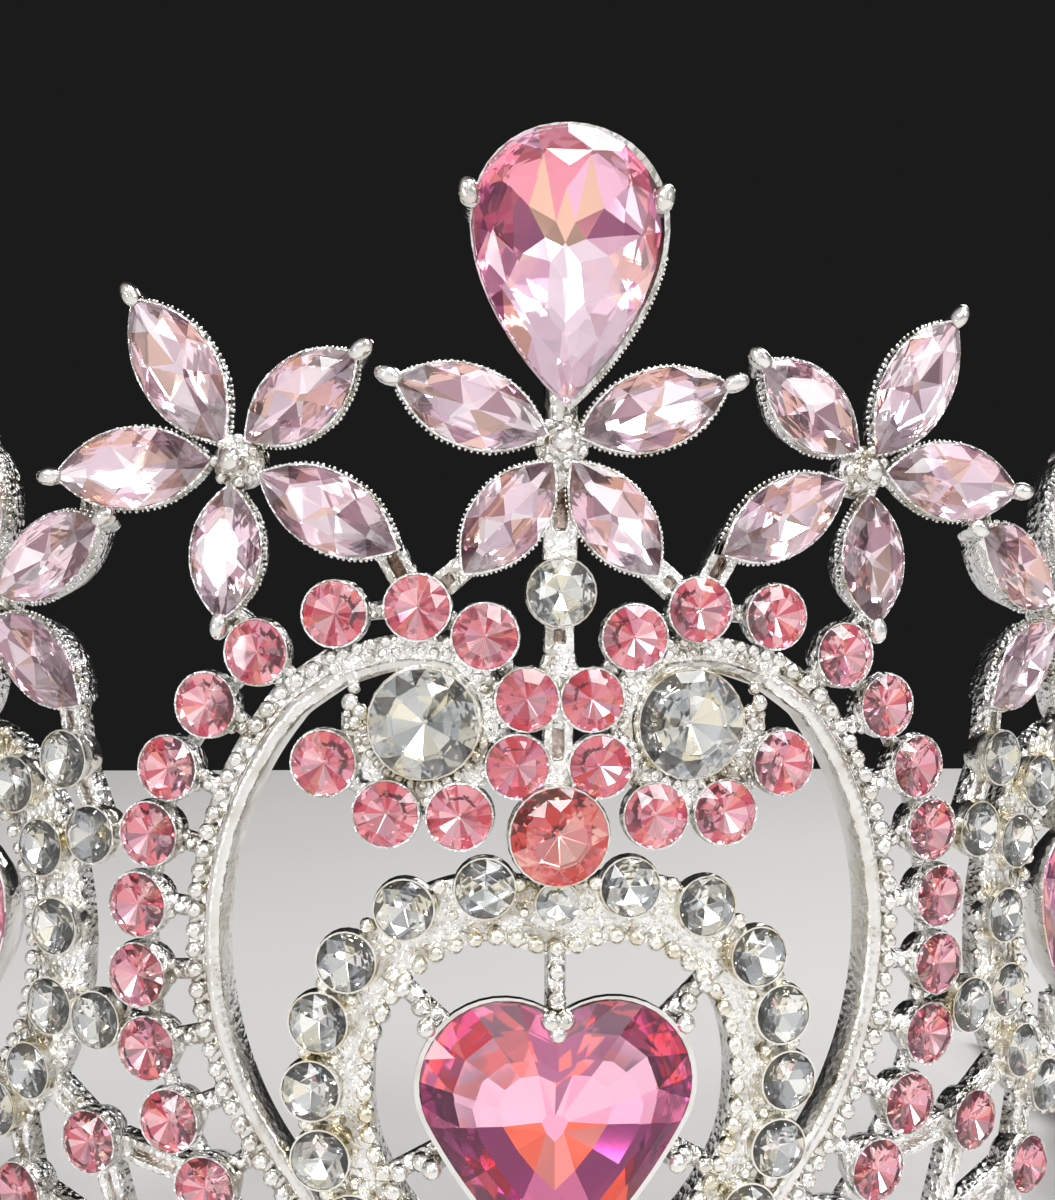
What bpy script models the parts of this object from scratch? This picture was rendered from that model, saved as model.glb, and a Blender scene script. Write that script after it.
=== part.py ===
"""A tall stage tiara with a heart scroll, three kinds of flower and set stones.

All lengths in the tables are millimetres and are turned into metres by MM.
The crown is a piece of an upright cylinder. A place on it is given by u, the
distance along the arc from the middle of the front, and h, the height above
the table. Out is the distance in front of the plane of the stones' girdles.
"""
import math
from collections import namedtuple

import bmesh
import bpy
from mathutils import Matrix, Vector

MM = 0.001

# Driving dimensions
CROWN_RADIUS = 72.0
CROWN_HALF_ARC = 125.0
BAND_HEIGHT = 5.2
BAND_THICK = 2.0
BAND_OUT = -1.6
SCROLL_WIDTH = 2.9
SCROLL_THICK = 1.9
SCROLL_OUT = -1.35
HALO_WIDTH = 5.6
HALO_THICK = 1.9
HALO_OUT = -1.25
WIRE_RADIUS = 0.75
WIRE_OUT = -1.5
RIM = 0.35
SEAT_GAP = 0.4
RING_CENTRE = 40.0
POCKET_LIFT = 0.6
CULET = 0.14
PEAR_OUT = 0.8
EYE_REACH = 4.75

# A stone's cut: its greatest half width, the depth behind its girdle, the height in
# front of it, its flat top as a share of its width, and the depth of its cup
Cut = namedtuple("Cut", "reach pavilion crown table cup")
PETAL_CUT = Cut(2.45, 1.9, 1.0, 0.6, 2.6)
PEAR_CUT = Cut(6.1, 3.6, 1.9, 0.56, 4.3)
SIDE_PEAR_CUT = Cut(5.0, 2.6, 1.5, 0.58, 3.2)
HEART_CUT = Cut(9.2, 3.3, 2.0, 0.58, 4.0)
ROUND_CUT = Cut(2.05, 1.6, 0.86, 0.6, 2.4)
HEART_PAIR_CUT = Cut(1.95, 1.52, 0.82, 0.6, 2.4)
BIG_CUT = Cut(3.6, 2.6, 1.5, 0.6, 3.3)
CORAL_CUT = Cut(3.1, 2.4, 1.3, 0.6, 3.3)
SMALL_CUT = Cut(2.15, 1.65, 0.9, 0.6, 2.9)

# The whole is centred front to back on the origin, so the arc's centre lies behind it.
FRONT_REACH = CROWN_RADIUS + PEAR_OUT + SEAT_GAP + PEAR_CUT.crown
BACK_REACH = -(CROWN_RADIUS + BAND_OUT) * math.cos(CROWN_HALF_ARC / CROWN_RADIUS) + EYE_REACH
CIRCLE_Y = (FRONT_REACH - BACK_REACH) / 2

# Petals: inner tip x, y and outer tip x, y from the flower's middle, width
CENTRE_PETALS = {
    "upper": (1.3, 0.5, 11.0, 3.9, 4.9),
    "lower": (0.8, -1.6, 6.4, -8.7, 4.5),
}
SIDE_PETALS = {
    "outer_high": (0.9, 1.4, 7.4, 10.95, 5.3),
    "inner_high": (-1.1, 1.5, -8.55, 6.9, 4.9),
    "outer": (1.9, 0.0, 13.3, -0.95, 5.2),
    "low": (0.2, -1.9, 0.95, -10.6, 4.8),
    "inner_low": (-2.1, -1.0, -11.5, -5.85, 4.8),
}
FAR_PETALS = {
    "inner": (-1.7, 0.8, -12.2, 5.8, 5.1),
    "inner_low": (-1.4, -1.3, -10.3, -6.9, 4.9),
    "low": (0.7, -1.8, 3.6, -10.6, 4.8),
    "outer": (2.0, 0.1, 12.6, 1.2, 5.1),
    "high": (0.2, 2.0, 0.9, 12.4, 5.1),
}
PETAL_BOW = 2.3
CENTRE_FLOWER = (0.0, 74.3)
SIDE_FLOWER = (22.4, 72.9)
FAR_FLOWER = (44.4, 62.9)

# Round stones between the lobes, in mirrored pairs: u, h
CLUSTER = {
    "top_1": (15.2, 62.6), "top_2": (9.6, 63.1), "top_3": (5.05, 61.2),
    "heart_1": (2.2, 57.0), "heart_2": (2.8, 52.5),
    "drop_1": (15.9, 52.5), "drop_2": (11.6, 49.2), "drop_3": (6.65, 49.1),
}
BIG_CLEAR = (9.1, 55.3)
CORAL = (0.0, 47.9)
SMALL_CLEAR = (0.0, 64.2)
PEAR = (0.0, 85.8)
PEAR_HALF_LENGTH = 9.0
PRONG = (6.9, 3.7)
PRONG_RADIUS = 0.8
PRONG_SINK = 0.1
SIDE_PEAR = (46.7, 38.2)
SIDE_PEAR_HALF_LENGTH = 7.2
SIDE_HALO = (9.5, 13.6)
SIDE_OVAL_STEPS = 18
SIDE_OVAL_WIDTH = 5.0
HEART_TIP = 18.0
HEART_LOBE = (3.7, 31.3)
HEART_LOBE_RADIUS = 5.5

# The right half of the heart scroll, from its foot to the end of its curl
SCROLL_FOOT = ((0.6, 6.0), (5.4, 9.4), (10.2, 13.5), (15.0, 18.4))
SCROLL_RADIUS = 25.0
SCROLL_FROM = -40.0
SCROLL_TO = 42.0
SCROLL_TOP = ((15.2, 59.0), (11.2, 60.0), (7.4, 59.9))
CURL_RADIUS = 4.75
CURL_FROM = 128.0
CURL_TO = 335.0

# The right half of the halo of clear stones around the heart stone
HALO_STONES = ((4.9, 44.3), (10.3, 42.8), (14.2, 39.1), (16.1, 34.9), (16.6, 30.2),
               (15.9, 25.5), (13.7, 21.2), (10.4, 17.4), (6.6, 14.1), (2.4, 11.6))
RING_STONES = ((20.7, 59.9), (24.4, 56.2), (27.3, 51.7), (28.8, 47.0), (29.65, 42.0),
               (29.7, 37.0), (28.9, 31.9), (27.1, 27.0), (24.3, 22.6), (20.9, 18.7),
               (17.3, 15.0), (13.5, 11.6), (9.3, 8.6))
LINK_STONES = ((33.6, 46.6), (36.0, 51.8), (33.1, 33.4), (33.8, 24.5), (31.0, 16.0),
               (40.6, 19.4), (52.8, 19.4))
HALO_TOP = 43.2
HALO_MIDDLE = 29.0
HALO_BACK = 0.92
LINK_RADIUS = 0.8
TIP_GROWTH = 1.4
RAIL_RADIUS = 1.0
COLLAR_RADIUS = 1.3
COLLAR_TOP = (0.0, 79.3)
TIE_DEPTH = 0.75
STEM_NODE_CUT = Cut(1.15, 0.9, 0.5, 0.6, 2.2)
SMALL_SIDES = 8
LARGE_SIDES = 12
PLAIN_SIDES = 6
COLLAR_SIDES = 6
LINK_SIDES = 3
PEAR_SIDES = 16
SIDE_PEAR_SIDES = 14
PEAR_WIDEST = 0.7698
LOBE_STEPS = 8
LOBE_END = -28.0
FLANK_STEPS = 4
FLANK_PULL = (0.62, 0.42)
MERGE_DISTANCE = 0.01
BAND_STEPS = 40
EYE_RADIUS = 1.9
EYE_SHIFT = 2.2
EYE_WIRE = 1.4
EYE_STEPS = 10
HUB_RADIUS = 2.3
HUB_LEVELS = ((1.0, -2.5), (1.0, -1.2), (0.45, -0.1))
RING_LINK = 4.2
STEM_NODE = 58.6
CORAL_OUT = 0.6
SMALL_OUT = 0.2
HEART_OUT = 0.6

# Wires on the right half: each is a route of u, h points
CLUSTER_WIRES = (
    ((6.6, 65.7), (9.6, 63.1), (9.8, 59.9)),
    ((11.3, 67.2), (9.6, 63.1)),
    ((9.6, 63.1), (5.05, 61.2), (2.2, 57.0), (0.0, 58.6)),
    ((5.05, 61.2), (5.6, 58.0)),
    ((15.2, 62.6), (14.9, 59.4)),
    ((2.8, 52.5), (0.0, 51.2)),
    ((2.2, 57.0), (0.0, 55.4)),
    ((2.8, 52.5), (5.1, 53.0)),
    ((6.65, 49.1), (7.9, 51.2)),
    ((11.6, 49.2), (10.4, 51.2)),
    ((6.65, 49.1), (11.6, 49.2)),
    ((15.9, 52.5), (13.2, 53.6)),
    ((23.4, 62.8), (20.7, 59.9)),
    ((9.1, 55.3), (13.8, 56.8)),
)
STEM_WIRES = (
    ((0.0, 74.3), (0.0, 64.2)),
    ((0.0, 64.2), (0.0, 58.6)),
    ((0.0, 58.6), (0.0, 47.9)),
    ((0.0, 47.9), (0.0, 41.9)),
)
HEART_WIRES = (
    ((0.0, 40.4), (0.0, 34.3)),
    ((11.6, 38.4), (7.4, 34.6)),
    ((11.9, 24.0), (7.0, 26.4)),
    ((0.0, 13.6), (0.0, 18.9)),
)
SIDE_WIRES = (
    ((34.9, 72.3), (33.6, 68.9)),
    ((34.6, 56.6), (36.0, 51.8), (33.6, 46.6), (28.8, 47.0)),
    ((33.6, 46.6), (37.2, 43.4)),
    ((36.6, 33.6), (33.1, 33.4), (28.9, 31.9)),
    ((39.0, 28.0), (33.8, 24.5), (24.3, 22.6)),
    ((33.8, 24.5), (31.0, 16.0), (30.4, 2.6)),
    ((17.3, 15.0), (31.0, 16.0), (40.6, 19.4)),
    ((42.2, 26.2), (40.6, 19.4), (40.2, 2.6)),
    ((51.2, 26.2), (52.8, 19.4), (53.2, 2.6)),
    ((46.7, 51.0), (46.7, 44.6)),
    ((46.7, 25.4), (46.7, 31.4)),
    ((54.6, 33.6), (61.0, 27.0)),
    ((13.5, 11.6), (13.7, 2.6)),
    ((20.9, 18.7), (21.6, 2.6)),
)
RAIL = ((52.8, 19.4), (61.0, 20.6), (71.5, 18.6), (82.0, 14.6), (92.5, 10.4), (110.0, 4.0))
POSTS = ((61.0, 27.0), (71.5, 24.5), (82.0, 19.5), (92.5, 15.0), (103.0, 11.5))


def clear_scene():
    """Remove what the new file holds."""
    for thing in list(bpy.data.objects):
        bpy.data.objects.remove(thing, do_unlink=True)


def seat(u, h, out=0.0):
    """Matrix of a flat spot on the crown: X along the arc, Y up, Z outwards."""
    angle = u / CROWN_RADIUS
    across = Vector((math.cos(angle), math.sin(angle), 0.0))
    outward = Vector((math.sin(angle), -math.cos(angle), 0.0))
    spot = outward * (CROWN_RADIUS + out) + Vector((0.0, CIRCLE_Y, h))
    return Matrix((
        (across.x, 0.0, outward.x, spot.x * MM),
        (across.y, 0.0, outward.y, spot.y * MM),
        (0.0, 1.0, 0.0, spot.z * MM),
        (0.0, 0.0, 0.0, 1.0),
    ))


def spot_on(u, h, out=0.0):
    """The point in metres at u, h and out."""
    return seat(u, h, out).to_translation()


def new_object(name, mesh, group):
    """Link a mesh into a collection."""
    thing = bpy.data.objects.new(name, mesh)
    group.objects.link(thing)
    return thing


def round_outline(radius, sides):
    """A regular polygon with a flat at the bottom."""
    step = math.tau / sides
    return [(radius * math.cos(step * (i + 0.5)), radius * math.sin(step * (i + 0.5)))
            for i in range(sides)]


def petal_outline(length, width, steps=4):
    """A pointed oval along X, made of two bowed sides."""
    upper = []
    for i in range(steps):
        x = 1.0 - 2.0 * i / steps
        upper.append((x * length / 2, (1.0 - abs(x) ** PETAL_BOW) * width / 2))
    return upper + [(-x, -y) for x, y in upper]


def pear_outline(half_length, half_width, sides):
    """A drop with its point down."""
    outline = []
    for i in range(sides):
        t = math.tau * i / sides
        x = -half_width / PEAR_WIDEST * math.sin(t) * abs(math.sin(t / 2))
        outline.append((x, -half_length * math.cos(t)))
    return outline


def heart_outline(grow=0.0):
    """A plump heart about its own middle, the right half and its mirror image."""
    lobe_x, lobe_h = HEART_LOBE
    radius = HEART_LOBE_RADIUS + grow
    tip = HEART_TIP - grow * TIP_GROWTH
    start = math.acos(-lobe_x / radius)
    end = math.radians(LOBE_END)
    half = []
    for i in range(LOBE_STEPS):
        angle = start + (end - start) * i / (LOBE_STEPS - 1)
        half.append((lobe_x + radius * math.cos(angle), lobe_h + radius * math.sin(angle)))
    corner = Vector(half[-1])
    pull = Vector((corner.x * FLANK_PULL[0], tip + (corner.y - tip) * FLANK_PULL[1]))
    for i in range(1, FLANK_STEPS):
        t = i / FLANK_STEPS
        point = corner * (1 - t) ** 2 + pull * 2 * t * (1 - t) + Vector((0.0, tip)) * t * t
        half.append((point.x, point.y))
    half[0] = (0.0, half[0][1])
    outline = half + [(0.0, tip)] + [(-x, h) for x, h in reversed(half[1:])]
    return [(x, h - lobe_h) for x, h in reversed(outline)]


def stack(outline, levels):
    """A closed solid: the outline at each level's scale, from its back to its front."""
    work = bmesh.new()
    first_scale, first_out = levels[0]
    ring = [work.verts.new((x * first_scale * MM, y * first_scale * MM, first_out * MM))
            for x, y in outline]
    face = work.faces.new(ring)
    scale = first_scale
    for step, (next_scale, out) in enumerate(levels[1:]):
        grown = bmesh.ops.extrude_face_region(work, geom=[face])
        if step > 0:
            bmesh.ops.delete(work, geom=[face], context="FACES_ONLY")
        verts = [v for v in grown["geom"] if isinstance(v, bmesh.types.BMVert)]
        face = [f for f in grown["geom"] if isinstance(f, bmesh.types.BMFace)][0]
        for vert in verts:
            vert.co.x *= next_scale / scale
            vert.co.y *= next_scale / scale
            vert.co.z = out * MM
        scale = next_scale
    bmesh.ops.recalc_face_normals(work, faces=work.faces)
    mesh = bpy.data.meshes.new("solid")
    work.to_mesh(mesh)
    work.free()
    return mesh


def ribbon(name, path, width, thick, out, group, closed=False):
    """A flat bar that lies on the crown along a path of u, h points."""
    count = len(path)
    work = bmesh.new()
    rows = []
    for i, here in enumerate(path):
        before = path[(i - 1) % count] if closed or i > 0 else here
        after = path[(i + 1) % count] if closed or i < count - 1 else here
        along = (Vector(after) - Vector(before)).normalized()
        side = Vector((-along.y, along.x)) * width / 2
        rows.append([
            work.verts.new(spot_on(here[0] + side.x, here[1] + side.y, out)),
            work.verts.new(spot_on(here[0] - side.x, here[1] - side.y, out)),
        ])
    last = count if closed else count - 1
    for i in range(last):
        a, b = rows[i], rows[(i + 1) % count]
        work.faces.new((a[0], a[1], b[1], b[0]))
    mesh = bpy.data.meshes.new(name)
    work.to_mesh(mesh)
    work.free()
    bar = new_object(name, mesh, group)
    wall = bar.modifiers.new("wall", "SOLIDIFY")
    wall.thickness = thick * MM
    wall.offset = 0.0
    return bake(bar, group)


def bake(thing, group):
    """Turn an object and its modifiers into a plain closed mesh."""
    depsgraph = bpy.context.evaluated_depsgraph_get()
    mesh = bpy.data.meshes.new_from_object(thing.evaluated_get(depsgraph))
    work = bmesh.new()
    work.from_mesh(mesh)
    bmesh.ops.remove_doubles(work, verts=work.verts, dist=MERGE_DISTANCE * MM)
    bmesh.ops.recalc_face_normals(work, faces=work.faces)
    work.to_mesh(mesh)
    work.free()
    plain = new_object(thing.name + ".mesh", mesh, group)
    plain.matrix_world = thing.matrix_world
    bpy.data.objects.remove(thing, do_unlink=True)
    return plain


class Workshop:
    """Collects metal blanks, pockets and stones before they are joined."""

    def __init__(self):
        self.tiara = bpy.data.collections.new("tiara")
        self.blanks = bpy.data.collections.new("metal_blanks")
        self.pockets = bpy.data.collections.new("stone_pockets")
        self.cups = {}
        for group in (self.tiara, self.blanks, self.pockets):
            bpy.context.scene.collection.children.link(group)

    def blank(self, mesh, place):
        """Add a piece of metal."""
        thing = new_object("blank", mesh, self.blanks)
        thing.data.transform(place)
        return thing

    def bar(self, start, end, radius, sides=4):
        """A straight round bar between two points in metres."""
        along = end - start
        middle = Matrix.Translation((start + end) / 2)
        turn = along.to_track_quat("Z", "Y").to_matrix().to_4x4()
        work = bmesh.new()
        bmesh.ops.create_cone(work, cap_ends=True, segments=sides, radius1=radius * MM,
                              radius2=radius * MM, depth=along.length)
        mesh = bpy.data.meshes.new("bar")
        work.to_mesh(mesh)
        work.free()
        self.blank(mesh, middle @ turn)

    def wire(self, path, radius=WIRE_RADIUS, sides=4):
        """Bars along a path of u, h points, which stop just inside any cup they end in."""
        for here, there in zip(path, path[1:]):
            along = (Vector(there) - Vector(here)).normalized()
            ends = []
            for place, way in ((here, along), (there, -along)):
                reach = self.cups.get((round(place[0], 2), round(place[1], 2)), 0.0)
                ends.append(Vector(place) + way * max(0.0, reach - TIE_DEPTH))
            self.bar(spot_on(*ends[0], WIRE_OUT), spot_on(*ends[1], WIRE_OUT), radius, sides)

    def ball(self, place, radius):
        """A small ball, as on the end of a prong."""
        work = bmesh.new()
        bmesh.ops.create_icosphere(work, subdivisions=1, radius=radius * MM)
        mesh = bpy.data.meshes.new("ball")
        work.to_mesh(mesh)
        work.free()
        self.blank(mesh, place)

    def add_cup(self, line, place, depth):
        """A cup's outer shape, with its rim at the stone's girdle."""
        self.blank(stack(line, [(1.0, -depth), (1.0, 0.0)]), place)

    def round_cup(self, u, h, cut=ROUND_CUT, sides=PLAIN_SIDES):
        """A round cup at u, h, noted down for the wires."""
        self.cups[(round(u, 2), round(h, 2))] = cut.reach + RIM
        self.add_cup(round_outline(cut.reach + RIM, sides), seat(u, h), cut.cup)

    def round_stone(self, name, spot, cut, gem, sides=SMALL_SIDES, out=0.0):
        """A round stone in its cup, noted down for the wires."""
        self.cups[(round(spot[0], 2), round(spot[1], 2))] = cut.reach + RIM
        line = round_outline(cut.reach, sides)
        rim = round_outline(cut.reach + RIM, sides)
        self.set_stone(name, line, rim, seat(*spot, out), cut, gem)

    def set_stone(self, name, line, rim, place, cut, gem):
        """A cup with a tapered pocket, and the stone that sits in it."""
        self.add_cup(rim, place, cut.cup)
        over = 1.0 + (1.0 - CULET) * POCKET_LIFT / cut.pavilion
        pocket = stack(line, [(CULET, -cut.pavilion), (over, POCKET_LIFT)])
        new_object("pocket", pocket, self.pockets).data.transform(place)
        stone = stack(line, [(CULET, SEAT_GAP - cut.pavilion), (1.0, SEAT_GAP),
                             (cut.table, SEAT_GAP + cut.crown)])
        thing = new_object(name, stone, self.tiara)
        thing.matrix_world = place
        thing.data.materials.append(gem)

    def weld(self, metal):
        """Join all the metal and cut the pockets."""
        first = self.blanks.objects[0]
        frame = new_object("frame", first.data.copy(), self.tiara)
        self.blanks.objects.unlink(first)
        bpy.data.objects.remove(first, do_unlink=True)
        join = frame.modifiers.new("join", "BOOLEAN")
        join.operation = "UNION"
        join.operand_type = "COLLECTION"
        join.collection = self.blanks
        join.solver = "MANIFOLD"
        cut = frame.modifiers.new("cut", "BOOLEAN")
        cut.operation = "DIFFERENCE"
        cut.operand_type = "COLLECTION"
        cut.collection = self.pockets
        cut.solver = "MANIFOLD"
        frame.data.materials.clear()
        frame.data.materials.append(metal)
        for group in (self.blanks, self.pockets):
            group.hide_render = True
            for thing in group.objects:
                thing.hide_render = True
                thing.display_type = "WIRE"
        return frame


def finish(name, colour, metallic, roughness):
    """A plain Principled material."""
    material = bpy.data.materials.new(name)
    material.use_nodes = True
    shader = material.node_tree.nodes["Principled BSDF"]
    shader.inputs["Base Color"].default_value = (*colour, 1.0)
    shader.inputs["Metallic"].default_value = metallic
    shader.inputs["Roughness"].default_value = roughness
    return material


def arc(u, h, radius, start, end, count):
    """Points of a round arc, angles in degrees."""
    points = []
    for i in range(count):
        angle = math.radians(start + (end - start) * i / (count - 1))
        points.append((u + radius * math.cos(angle), h + radius * math.sin(angle)))
    return points


def mirrored(path, side):
    """The path on the right, side 1, or on the left, side -1."""
    return [(side * point[0], *point[1:]) for point in path]


def scroll_path():
    """The right half of the heart scroll with its curl."""
    flank = arc(0.0, RING_CENTRE, SCROLL_RADIUS, SCROLL_FROM, SCROLL_TO, 11)
    curl = arc(*BIG_CLEAR, CURL_RADIUS, CURL_FROM, CURL_TO, 9)
    return list(SCROLL_FOOT) + flank + list(SCROLL_TOP) + curl


def side_halo_points(count):
    """Evenly turned points of the oval beside the heart, from its inner flank."""
    u, h = SIDE_PEAR
    wide, tall = SIDE_HALO
    return [(u - wide * math.cos(math.tau * i / count),
             h + tall * math.sin(math.tau * i / count)) for i in range(count)]


def build_band(shop):
    """The base band, a flat strip standing on the table, with an eye at each end."""
    path = [(CROWN_HALF_ARC * (2 * i / BAND_STEPS - 1), BAND_HEIGHT / 2)
            for i in range(BAND_STEPS + 1)]
    ribbon("band", path, BAND_HEIGHT, BAND_THICK, BAND_OUT, shop.blanks)
    last = 360.0 * (EYE_STEPS - 1) / EYE_STEPS
    for side in (-1, 1):
        eye = arc(side * (CROWN_HALF_ARC + EYE_SHIFT), BAND_HEIGHT / 2, EYE_RADIUS, 0.0, last,
                  EYE_STEPS)
        ribbon("eye", eye, EYE_WIRE, EYE_WIRE, BAND_OUT, shop.blanks, closed=True)


def build_scroll(shop):
    """The heart scroll and the ring of small cups outside it, with their links."""
    for side in (-1, 1):
        ribbon("scroll", mirrored(scroll_path(), side), SCROLL_WIDTH,
               SCROLL_THICK, SCROLL_OUT, shop.blanks)
        for u, h in mirrored(RING_STONES, side):
            shop.round_cup(u, h)
            inward = Vector((u, h - RING_CENTRE)).normalized() * RING_LINK
            shop.wire([(u, h), (u - inward.x, h - inward.y)], LINK_RADIUS, LINK_SIDES)


def build_cluster(shop, pink, clear, coral):
    """The round stones between the lobes and the wires that carry them."""
    shop.round_stone("coral_round", CORAL, CORAL_CUT, coral, LARGE_SIDES, CORAL_OUT)
    shop.round_stone("small_clear", SMALL_CLEAR, SMALL_CUT, clear, SMALL_SIDES, SMALL_OUT)
    shop.round_cup(0.0, STEM_NODE, STEM_NODE_CUT)
    for side, word in ((-1, "left"), (1, "right")):
        for name, (u, h) in CLUSTER.items():
            cut = HEART_PAIR_CUT if name.startswith("heart") else ROUND_CUT
            shop.round_stone(f"{name}_{word}", (side * u, h), cut, pink)
        u, h = BIG_CLEAR
        shop.round_stone(f"big_clear_{word}", (side * u, h), BIG_CUT, clear, LARGE_SIDES)
        for route in CLUSTER_WIRES:
            shop.wire(mirrored(route, side))
    for route in STEM_WIRES:
        shop.wire(route)


def build_petal(shop, gem, name, flower, tips, side):
    """One pointed stone in its boat-shaped cup."""
    x0, y0, x1, y1, width = tips
    length = math.hypot(x1 - x0, y1 - y0)
    turn = math.atan2(y1 - y0, side * (x1 - x0))
    middle = Matrix.Translation((side * (x0 + x1) / 2 * MM, (y0 + y1) / 2 * MM, 0.0))
    place = seat(side * flower[0], flower[1]) @ middle @ Matrix.Rotation(turn, 4, "Z")
    line = petal_outline(length, width)
    rim = petal_outline(length + 2 * TIP_GROWTH * RIM, width + 2 * RIM)
    shop.set_stone(name, line, rim, place, PETAL_CUT, gem)


def build_flowers(shop, pale):
    """Three kinds of flower, the outer two in mirrored pairs."""
    kinds = (("centre", CENTRE_FLOWER, CENTRE_PETALS), ("side", SIDE_FLOWER, SIDE_PETALS),
             ("far", FAR_FLOWER, FAR_PETALS))
    for kind, flower, petals in kinds:
        for side, word in ((-1, "left"), (1, "right")):
            for petal, tips in petals.items():
                build_petal(shop, pale, f"{kind}_petal_{petal}_{word}", flower, tips, side)
            if side > 0 or flower[0] > 0.0:
                hub = stack(round_outline(HUB_RADIUS, SMALL_SIDES), HUB_LEVELS)
                shop.blank(hub, seat(side * flower[0], flower[1]))


def build_pear(shop, pink):
    """The big drop on top, in a cup with two ball prongs and a collar below."""
    line = pear_outline(PEAR_HALF_LENGTH, PEAR_CUT.reach, PEAR_SIDES)
    rim = pear_outline(PEAR_HALF_LENGTH + TIP_GROWTH * RIM, PEAR_CUT.reach + RIM, PEAR_SIDES)
    shop.set_stone("pear", line, rim, seat(*PEAR, PEAR_OUT), PEAR_CUT, pink)
    shop.wire((CENTRE_FLOWER, COLLAR_TOP), COLLAR_RADIUS, COLLAR_SIDES)
    for side in (-1, 1):
        shop.ball(seat(side * PRONG[0], PEAR[1] + PRONG[1], PEAR_OUT - PRONG_SINK), PRONG_RADIUS)


def build_heart(shop, rose):
    """The heart stone inside the halo."""
    place = seat(0.0, HEART_LOBE[1], HEART_OUT)
    shop.set_stone("heart", heart_outline(), heart_outline(RIM), place, HEART_CUT, rose)
    for route in HEART_WIRES:
        for side in (-1, 1) if route[0][0] > 0.0 else (1,):
            shop.wire(mirrored(route, side))
    path = [(0.0, HALO_TOP)] + list(HALO_STONES)
    path += mirrored(reversed(HALO_STONES), -1)
    inner = [(u * HALO_BACK, (h - HALO_MIDDLE) * HALO_BACK + HALO_MIDDLE) for u, h in path]
    ribbon("halo", inner, HALO_WIDTH, HALO_THICK, HALO_OUT, shop.blanks, closed=True)


def build_sides(shop, pink):
    """The oval beside the heart, its drop, and the plain rail that runs to the ends."""
    half_length, cut = SIDE_PEAR_HALF_LENGTH, SIDE_PEAR_CUT
    line = pear_outline(half_length, cut.reach, SIDE_PEAR_SIDES)
    rim = pear_outline(half_length + TIP_GROWTH * RIM, cut.reach + RIM, SIDE_PEAR_SIDES)
    for side, word in ((-1, "left"), (1, "right")):
        u, h = SIDE_PEAR
        shop.set_stone(f"side_pear_{word}", line, rim, seat(side * u, h), cut, pink)
        ribbon("oval", mirrored(side_halo_points(SIDE_OVAL_STEPS), side), SIDE_OVAL_WIDTH,
               HALO_THICK, HALO_OUT, shop.blanks, closed=True)
        for u, h in mirrored(LINK_STONES, side):
            shop.round_cup(u, h)
        for u, h in mirrored(POSTS, side):
            shop.round_cup(u, h)
            shop.wire(((u, h), (u, BAND_HEIGHT / 2)))
        for route in SIDE_WIRES:
            shop.wire(mirrored(route, side))
        shop.wire(mirrored(RAIL, side), RAIL_RADIUS)


def build():
    """Model the whole tiara."""
    clear_scene()
    shop = Workshop()
    silver = finish("silver_plate", (0.82, 0.81, 0.80), 1.0, 0.22)
    pale = finish("pale_pink_crystal", (0.95, 0.74, 0.82), 0.0, 0.05)
    pink = finish("pink_crystal", (0.92, 0.36, 0.50), 0.0, 0.05)
    rose = finish("rose_crystal", (0.80, 0.16, 0.42), 0.0, 0.05)
    coral = finish("coral_crystal", (0.88, 0.22, 0.24), 0.0, 0.05)
    clear = finish("clear_crystal", (0.92, 0.94, 0.95), 0.0, 0.03)
    build_band(shop)
    build_scroll(shop)
    build_cluster(shop, pink, clear, coral)
    build_flowers(shop, pale)
    build_pear(shop, pink)
    build_heart(shop, rose)
    build_sides(shop, pink)
    shop.weld(silver)
    return shop


if __name__ == "__main__":
    build()
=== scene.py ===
# %% [markdown]
# # A stage tiara with a heart scroll and pink stones
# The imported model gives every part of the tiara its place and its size. This lesson
# models the parts again with the small things that the eye looks for: cut facets, thin
# cups, milled edges and grainy cast silver. All of it is laid out on the same crown.

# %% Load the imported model
import math
import random

import bpy
import numpy as np
from mathutils import Matrix, Vector


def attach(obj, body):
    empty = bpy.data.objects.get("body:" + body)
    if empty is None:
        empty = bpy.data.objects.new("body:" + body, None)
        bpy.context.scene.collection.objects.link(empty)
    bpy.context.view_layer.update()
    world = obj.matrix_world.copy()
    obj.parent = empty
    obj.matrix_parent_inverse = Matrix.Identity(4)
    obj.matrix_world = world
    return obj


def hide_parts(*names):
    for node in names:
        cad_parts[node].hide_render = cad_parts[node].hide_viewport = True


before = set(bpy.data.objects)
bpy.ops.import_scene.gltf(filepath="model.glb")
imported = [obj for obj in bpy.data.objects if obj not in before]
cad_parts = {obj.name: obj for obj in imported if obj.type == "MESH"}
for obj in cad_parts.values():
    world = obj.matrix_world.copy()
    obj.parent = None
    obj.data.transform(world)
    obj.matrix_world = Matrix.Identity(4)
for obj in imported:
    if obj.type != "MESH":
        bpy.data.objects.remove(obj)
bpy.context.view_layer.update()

# %% [markdown]
# ## The crown
# A tiara's front is a strip that was cast flat and bent round. So each place on it has
# two numbers: u, the way along the strip from the middle of the front, and h, the height
# above the table. A third, out, is the way forward from the stones' widest line. Stones
# are stiff, so they are seated whole. Metal strips bend, so they are drawn flat first,
# with u, h and out as X, Y and Z in millimetres, and then wrapped onto the crown.

# %% Seat and wrap
MM = 0.001
CROWN_RADIUS = 72.0
CIRCLE_Y = 29.382


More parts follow.
